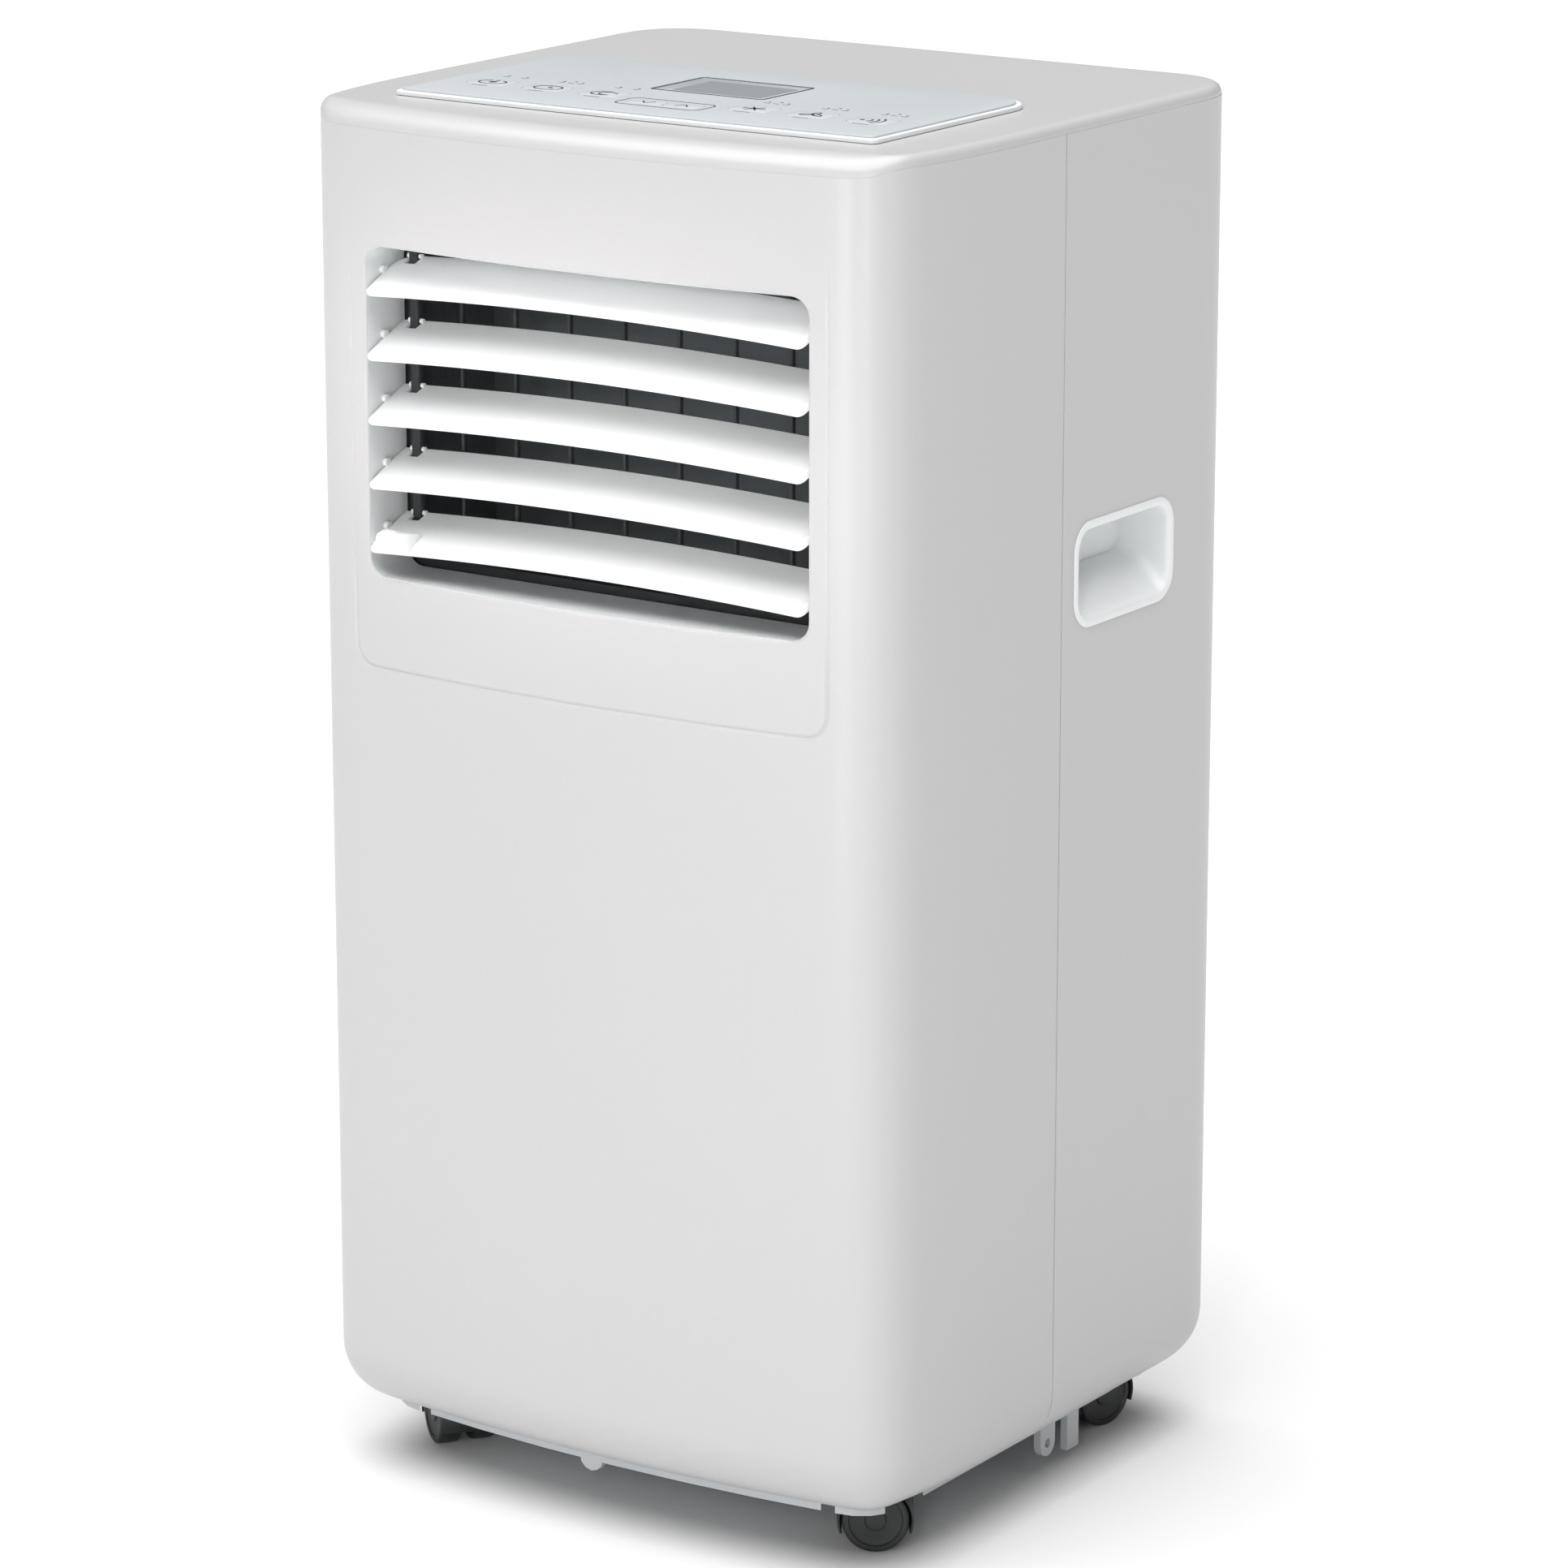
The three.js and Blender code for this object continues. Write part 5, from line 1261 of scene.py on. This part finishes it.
def intake(name):
    """A grille of thin rounded slats in a rolled rim, with its framed filter."""
    body = name + "_cassette"
    lo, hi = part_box(name + "_intake_grille")
    rim, slats = 7 * MM, 21
    rings = []
    for grow, y in ((0, lo.y), (0, hi.y - 0.9 * MM), (-0.3 * MM, hi.y - 0.25 * MM), (-0.9 * MM, hi.y),
                    (-rim + 0.8 * MM, hi.y), (-rim, hi.y - 0.8 * MM), (-rim, lo.y), (0, lo.y)):
        ring = rounded_rect((lo.x - grow, hi.x + grow), (lo.z - grow, hi.z + grow), 3 * MM, 5)
        rings.append([Vector((x, y, z)) for x, z in ring])
    parts = [loft(rings)]
    for i in range(1, slats):
        z = mix(lo.z + rim, hi.z - rim, i / slats)
        section = [(lo.y + 0.2 * MM, z - 1.6 * MM), (hi.y - 0.5 * MM, z - 2.6 * MM),
                   (hi.y - 0.1 * MM, z - 2.2 * MM), (hi.y - 0.1 * MM, z - 1.2 * MM),
                   (lo.y + 0.2 * MM, z + 0.4 * MM)]
        for ends in ((lo.x + rim - MM, -2.4 * MM), (2.4 * MM, hi.x - rim + MM)):
            parts.append(loft([[Vector((x, a, b)) for a, b in section] for x in ends], cap=(True, True)))
    post = rounded_rect((-3 * MM, 3 * MM), (lo.y, hi.y), 0.8 * MM, 3)
    parts.append(upright(post, lo.z + rim - MM, hi.z - rim + MM))
    solid_piece(name + "_intake_slats", merge(*parts), body, "white_casing", casing_abs(),
                name + "_intake_grille")
    # the filter behind it: a frame with five ribs, and the net
    lo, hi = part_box(name + "_dust_filter")
    rings = []
    for inset, y in ((0, lo.y), (0, hi.y), (5.5 * MM, hi.y), (6 * MM, lo.y), (0, lo.y)):
        ring = rounded_rect((lo.x + inset, hi.x - inset), (lo.z + inset, hi.z - inset), 2.5 * MM, 4)
        rings.append([Vector((x, y, z)) for x, z in ring])
    parts = [loft(rings)]
    for i in range(-2, 3):
        x = i * (hi.x - 6 * MM) / 2.6
        rib = rounded_rect((x - 1.2 * MM, x + 1.2 * MM), (lo.y + 0.4 * MM, hi.y - 0.2 * MM), 0.6 * MM, 3)
        parts.append(upright(rib, lo.z + 5 * MM, hi.z - 5 * MM))
    sheet = rounded_rect((lo.x + 3 * MM, hi.x - 3 * MM), (lo.z + 3 * MM, hi.z - 3 * MM), 2 * MM, 4)
    net = [[Vector((x, y, z)) for x, z in sheet] for y in (hi.y - 1.6 * MM, hi.y - 0.9 * MM)]
    solid_piece(name + "_filter_frame", merge(*parts), body, "filter_grey", guard_plastic(),
                name + "_dust_filter")
    solid_piece(name + "_filter_net", loft(net, cap=(True, True)), body, "filter_grey", filter_mesh())


def exhaust_collar():
    """A lipped flange round a long tube, with three catches inside its mouth."""
    lo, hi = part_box("exhaust_collar")
    centre = Vector((0, 0, COLLAR_Z))
    wall, end, start = REAR_Y / MM, hi.y / MM, lo.y / MM
    profile = [(65.0, start), (65.0, wall + 0.2), (71.0, wall + 0.3), (71.9, wall + 0.9), (71.9, wall + 1.9),
               (71.2, wall + 2.5), (66.2, wall + 2.6), (65.2, wall + 3.2), (65.0, end - 1.0),
               (64.6, end - 0.3), (63.9, end), (62.9, end), (62.3, end - 0.4), (62.0, end - 1.2),
               (62.0, start), (65.0, start)]
    parts = [turned([(r * MM, y * MM) for r, y in profile], centre, Y, 120, cap=False)]
    catch = rounded_rect((-5.5 * MM, 5.5 * MM), (-2.4 * MM, 2.4 * MM), 1.4 * MM, 4)
    for k in range(3):
        a = 2 * math.pi * k / 3 + 0.4
        out = X * math.cos(a) - Z * math.sin(a)
        across = Z * math.cos(a) + X * math.sin(a)
        base = centre + out * 60.4 * MM + Y * (hi.y - 2.6 * MM)
        parts.append(loft([[base + across * p + out * q + Y * h for p, q in catch] for h in (0, 2.2 * MM)],
                          cap=(True, True)))
    solid_piece("exhaust_collar_ring", merge(*parts), CABINET, "white_casing", casing_abs(), "exhaust_collar")


def drain_plug(name):
    """A rubber stopper with a thin pull across its head."""
    x, z = DRAINS[name]
    w = REAR_Y
    profile = [(7.4, -7), (8.0, -6), (8.0, 0.3), (11.3, 0.4), (12.0, 1.1), (11.9, 2.4), (11.0, 3.2), (4, 3.4)]
    head = turned([(r * MM, w + h * MM) for r, h in profile], Vector((x, 0, z)), Y, 56)
    pull = []
    for i in range(13):
        t = i / 12
        rise = 4.2 * MM * math.sin(math.pi * t) ** 0.6 if 0 < i < 12 else 0
        high = w + 3.3 * MM + rise
        section = ((-1.5 * MM, w + 3 * MM), (1.5 * MM, w + 3 * MM), (1.3 * MM, high), (-1.3 * MM, high))
        pull.append([Vector((x + a, b, z + mix(-8 * MM, 8 * MM, t))) for a, b in section])
    solid_piece(name + "_drain_stopper", merge(head, loft(pull, cap=(True, True))), name + "_plug",
                "rubber_black", rubber(), name + "_drain_plug", angle=40)


def cord_gland():
    """The rubber boot that a mains cord would leave by."""
    lo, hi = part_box("cord_gland")
    centre = ((lo.x + hi.x) / 2, 0, (lo.z + hi.z) / 2)
    reach = (hi.x - lo.x) / 2
    profile = [(6.7 * MM, lo.y), (6.7 * MM, REAR_Y + 0.3 * MM), (reach - 0.6 * MM, REAR_Y + 0.35 * MM),
               (reach, REAR_Y + 1.0 * MM), (reach - 0.2 * MM, REAR_Y + 2.0 * MM), (6.2 * MM, hi.y - 2.2 * MM),
               (5.4 * MM, hi.y - 0.6 * MM), (4.4 * MM, hi.y), (3.0 * MM, hi.y - 0.2 * MM),
               (2.8 * MM, hi.y - 1.5 * MM), (2.8 * MM, lo.y), (6.7 * MM, lo.y)]
    solid_piece("cord_gland_boot", turned(profile, centre, Y, 48, cap=False), CABINET, "rubber_black",
                rubber(), "cord_gland")


SCREWS = [(-128, 292), (128, 292), (-128, 458), (128, 458), (-128, 680), (128, 680), (0, 78), (0, 678)]


def screws():
    """Countersunk screws that hold the rear casing, each with a cross recess."""
    profile = [(4.4 * MM, REAR_Y - 1.5 * MM), (4.4 * MM, REAR_Y + 0.1 * MM), (4.0 * MM, REAR_Y + 0.5 * MM),
               (2.4 * MM, REAR_Y + 0.85 * MM)]
    for k, (x, z) in enumerate(SCREWS):
        at = Vector((x * MM, 0, z * MM))
        piece = mesh_object(f"rear_screw_{k + 1}", *turned(profile, at, Y, 32))
        face_out(piece)
        slots = [rect_outline((at.x - a * MM, at.x + a * MM), (at.z - b * MM, at.z + b * MM), 0.2 * MM, 2)
                 for a, b in ((2.4, 0.45), (0.45, 2.4))]
        carve(piece, *[along_y(slot, REAR_Y + 0.1 * MM, REAR_Y + 2 * MM) for slot in slots])
        smooth(piece, 30)
        finish_piece(piece, CABINET, "motor_steel", zinc_steel())


# ---------------------------------------------------------------- pieces kept from the frame
def keep_nodes():
    """The inner pieces and the base tray keep their shapes, with rounded edges and their own finishes."""
    finishes = {
        "base_tray": tray_pp, "outlet_duct": duct_foam, "control_board": board_mask,
        "cold_blower_scroll": duct_foam, "cold_blower_wheel": guard_plastic, "cold_fan_motor": zinc_steel,
        "hot_blower_scroll": duct_foam, "hot_blower_wheel": guard_plastic, "hot_fan_motor": zinc_steel,
        "partition_deck": duct_foam, "exhaust_duct": duct_foam, "evaporator_coil": fin_stock,
        "condenser_coil": fin_stock, "compressor": black_enamel, "suction_pipe": copper,
        "discharge_pipe": copper, "electric_box": zinc_steel, "run_capacitor": capacitor_case,
    }
    for name, make in finishes.items():
        node = frame["nodes"][name]
        node.data.materials.clear()
        node.data.materials.append(make())
        rounding = node.modifiers.new("edges", "BEVEL")
        rounding.width = 0.5 * MM
        rounding.segments = 2
        rounding.limit_method = "ANGLE"
        rounding.angle_limit = math.radians(40)
        rounding.harden_normals = True


# ---------------------------------------------------------------- stage
EYE_TURN, EYE_RISE, EYE_DISTANCE, EYE_LENS = 0.5934, 0.2579, 3.1463, 143.4
EYE_AIM, EYE_MIDDLE = (-0.00651, 0.01657), Vector((0, 0, 0.3645))
FLOOR_REACH = 40
WORLD_STRENGTH, SUN_STRENGTH, SUN_ANGLE = 0.16, 4.3, math.radians(75)


def camera():
    """The eye that looks at the front right corner from a little above."""
    cos_rise = math.cos(EYE_RISE)
    away = Vector((math.sin(EYE_TURN) * cos_rise, -math.cos(EYE_TURN) * cos_rise, math.sin(EYE_RISE)))
    right = (-away).cross(Z).normalized()
    over = right.cross(-away)
    data = bpy.data.cameras.new("camera")
    data.lens, data.sensor_width, data.clip_end = EYE_LENS, 36, 50
    eye = bpy.data.objects.new("camera", data)
    bpy.context.scene.collection.objects.link(eye)
    eye.location = EYE_MIDDLE - right * EYE_AIM[0] - over * EYE_AIM[1] + away * EYE_DISTANCE
    eye.rotation_euler = (-away).to_track_quat("-Z", "Y").to_euler()
    bpy.context.scene.camera = eye


def softbox(name, place, target, size, watts, spread=180):
    data = bpy.data.lights.new(name, "AREA")
    data.shape = "RECTANGLE"
    data.size, data.size_y = size
    data.energy = watts
    data.spread = math.radians(spread)
    lamp = bpy.data.objects.new(name, data)
    bpy.context.scene.collection.objects.link(lamp)
    lamp.location = place
    lamp.rotation_euler = (Vector(target) - Vector(place)).to_track_quat("-Z", "Y").to_euler()


def studio():
    """A white floor and world, an overhead sun, four soft boxes and a beam."""
    reach = (-FLOOR_REACH, FLOOR_REACH)
    corners = [[Vector((x, y, 0)) for x in reach] for y in reach]
    floor = mesh_object("studio_floor", *loft(corners, closed=False))
    # Matt paper sweep: even and nearly white
    paper = shader("paper_matt_white", "#E6E6E6", 0.9, 1.4, tint="#E4E4E4", tint_size=0.8, rough_spread=0.02)
    floor.data.materials.append(paper)
    world = bpy.data.worlds.new("studio")
    bpy.context.scene.world = world
    world.use_nodes = True
    world.node_tree.nodes["Background"].inputs["Color"].default_value = (1, 1, 1, 1)
    world.node_tree.nodes["Background"].inputs["Strength"].default_value = WORLD_STRENGTH
    data = bpy.data.lights.new("overhead", "SUN")
    data.energy, data.angle = SUN_STRENGTH, SUN_ANGLE
    overhead = bpy.data.objects.new("overhead", data)
    bpy.context.scene.collection.objects.link(overhead)
    overhead.rotation_euler = Vector((0.05, 0.12, -1)).to_track_quat("-Z", "Y").to_euler()
    softbox("front_softbox", (-0.4, -2.2, 1.3), (0, -0.15, 0.5), (1.3, 0.9), 0.6)
    softbox("corner_softbox", (1.25, -2.45, 0.9), (0.14, -0.12, 0.42), (0.3, 1.6), 15)
    softbox("edge_softbox", (0.05, -1.5, 0.4), (0.14, -0.15, 0.36), (0.22, 0.7), 3.4)
    softbox("side_softbox", (2.6, -0.2, 1.5), (0.1, 0, 0.5), (1.0, 1.2), 1.5)
    # a narrow beam that reaches in between the louvres
    softbox("outlet_beam", (-0.25, -1.25, 0.86), (0, -0.14, 0.555), (0.24, 0.12), 0.05, spread=12)
    bpy.context.scene.view_settings.view_transform = "Standard"
    camera()


# ---------------------------------------------------------------- operators
class CLIMATE_OT_casings(bpy.types.Operator):
    """Front and rear casing and the top cover"""
    bl_idname = "climate.casings"
    bl_label = "Casings"

    def execute(self, context):
        front_casing()
        rear_casing()
        top_cover()
        return {"FINISHED"}


class CLIMATE_OT_outlet(bpy.types.Operator):
    """Outlet frame and guard"""
    bl_idname = "climate.outlet"
    bl_label = "Outlet"

    def execute(self, context):
        outlet_frame()
        outlet_guard()
        return {"FINISHED"}


class CLIMATE_OT_louvres(bpy.types.Operator):
    """Five louvres and the link that joins them"""
    bl_idname = "climate.louvres"
    bl_label = "Louvres"

    def execute(self, context):
        for index in range(1, LOWEST_LOUVRE + 1):
            louvre(index)
        louvre_link()
        return {"FINISHED"}


class CLIMATE_OT_panel(bpy.types.Operator):
    """Control plate, overlay, display and printing"""
    bl_idname = "climate.panel"
    bl_label = "Control panel"

    def execute(self, context):
        control_plate()
        control_overlay()
        display()
        panel_print()
        return {"FINISHED"}


class CLIMATE_OT_keys(bpy.types.Operator):
    """Eight keys with plain symbols"""
    bl_idname = "climate.keys"
    bl_label = "Keys"

    def execute(self, context):
        keys()
        return {"FINISHED"}


class CLIMATE_OT_grips(bpy.types.Operator):
    """The finger recess in each side"""
    bl_idname = "climate.grips"
    bl_label = "Side grips"

    def execute(self, context):
        for side in (1, -1):
            grip_well(side)
        return {"FINISHED"}


class CLIMATE_OT_casters(bpy.types.Operator):
    """Four twin-wheel casters"""
    bl_idname = "climate.casters"
    bl_label = "Casters"

    def execute(self, context):
        for place in ("front_left", "front_right", "rear_left", "rear_right"):
            caster(place)
        return {"FINISHED"}


class CLIMATE_OT_intakes(bpy.types.Operator):
    """Both rear grilles with their filters"""
    bl_idname = "climate.intakes"
    bl_label = "Intakes"

    def execute(self, context):
        for name in ("upper", "lower"):
            intake(name)
        return {"FINISHED"}


class CLIMATE_OT_rear(bpy.types.Operator):
    """Exhaust collar, drain stoppers, cord gland and screws"""
    bl_idname = "climate.rear"
    bl_label = "Rear fittings"

    def execute(self, context):
        exhaust_collar()
        for name in ("upper", "lower"):
            drain_plug(name)
        cord_gland()
        screws()
        return {"FINISHED"}


class CLIMATE_OT_inner(bpy.types.Operator):
    """Finishes of the base tray and the inner pieces"""
    bl_idname = "climate.inner"
    bl_label = "Inner pieces"

    def execute(self, context):
        keep_nodes()
        return {"FINISHED"}


class CLIMATE_OT_studio(bpy.types.Operator):
    """Floor, lights and camera"""
    bl_idname = "climate.studio"
    bl_label = "Studio"

    def execute(self, context):
        studio()
        return {"FINISHED"}


OPERATORS = [
    CLIMATE_OT_casings, CLIMATE_OT_outlet, CLIMATE_OT_louvres, CLIMATE_OT_panel,
    CLIMATE_OT_keys, CLIMATE_OT_grips, CLIMATE_OT_casters, CLIMATE_OT_intakes,
    CLIMATE_OT_rear, CLIMATE_OT_inner, CLIMATE_OT_studio,
]


class CLIMATE_PT_sidebar(bpy.types.Panel):
    """Lists the sizes, the colours and every step."""
    bl_label = "Air Conditioner"
    bl_idname = "CLIMATE_PT_sidebar"
    bl_space_type = "VIEW_3D"
    bl_region_type = "UI"
    bl_category = "Air Conditioner"

    def draw(self, context):
        layout = self.layout
        for group in (context.scene.cabinet_sizes, context.scene.finish_colours):
            box = layout.box()
            for name in group.bl_rna.properties.keys():
                if name not in ("rna_type", "name"):
                    box.prop(group, name)
        for operator in OPERATORS:
            layout.operator(operator.bl_idname)


CLASSES = [CabinetSizes, FinishColours, *OPERATORS, CLIMATE_PT_sidebar]


def register():
    for made in CLASSES:
        bpy.utils.register_class(made)
    bpy.types.Scene.cabinet_sizes = PointerProperty(type=CabinetSizes)
    bpy.types.Scene.finish_colours = PointerProperty(type=FinishColours)


def unregister():
    del bpy.types.Scene.finish_colours
    del bpy.types.Scene.cabinet_sizes
    for made in reversed(CLASSES):
        bpy.utils.unregister_class(made)


def main():
    register()
    for operator in OPERATORS:
        area, name = operator.bl_idname.split(".")
        getattr(getattr(bpy.ops, area), name)()


if __name__ == "__main__":
    main()
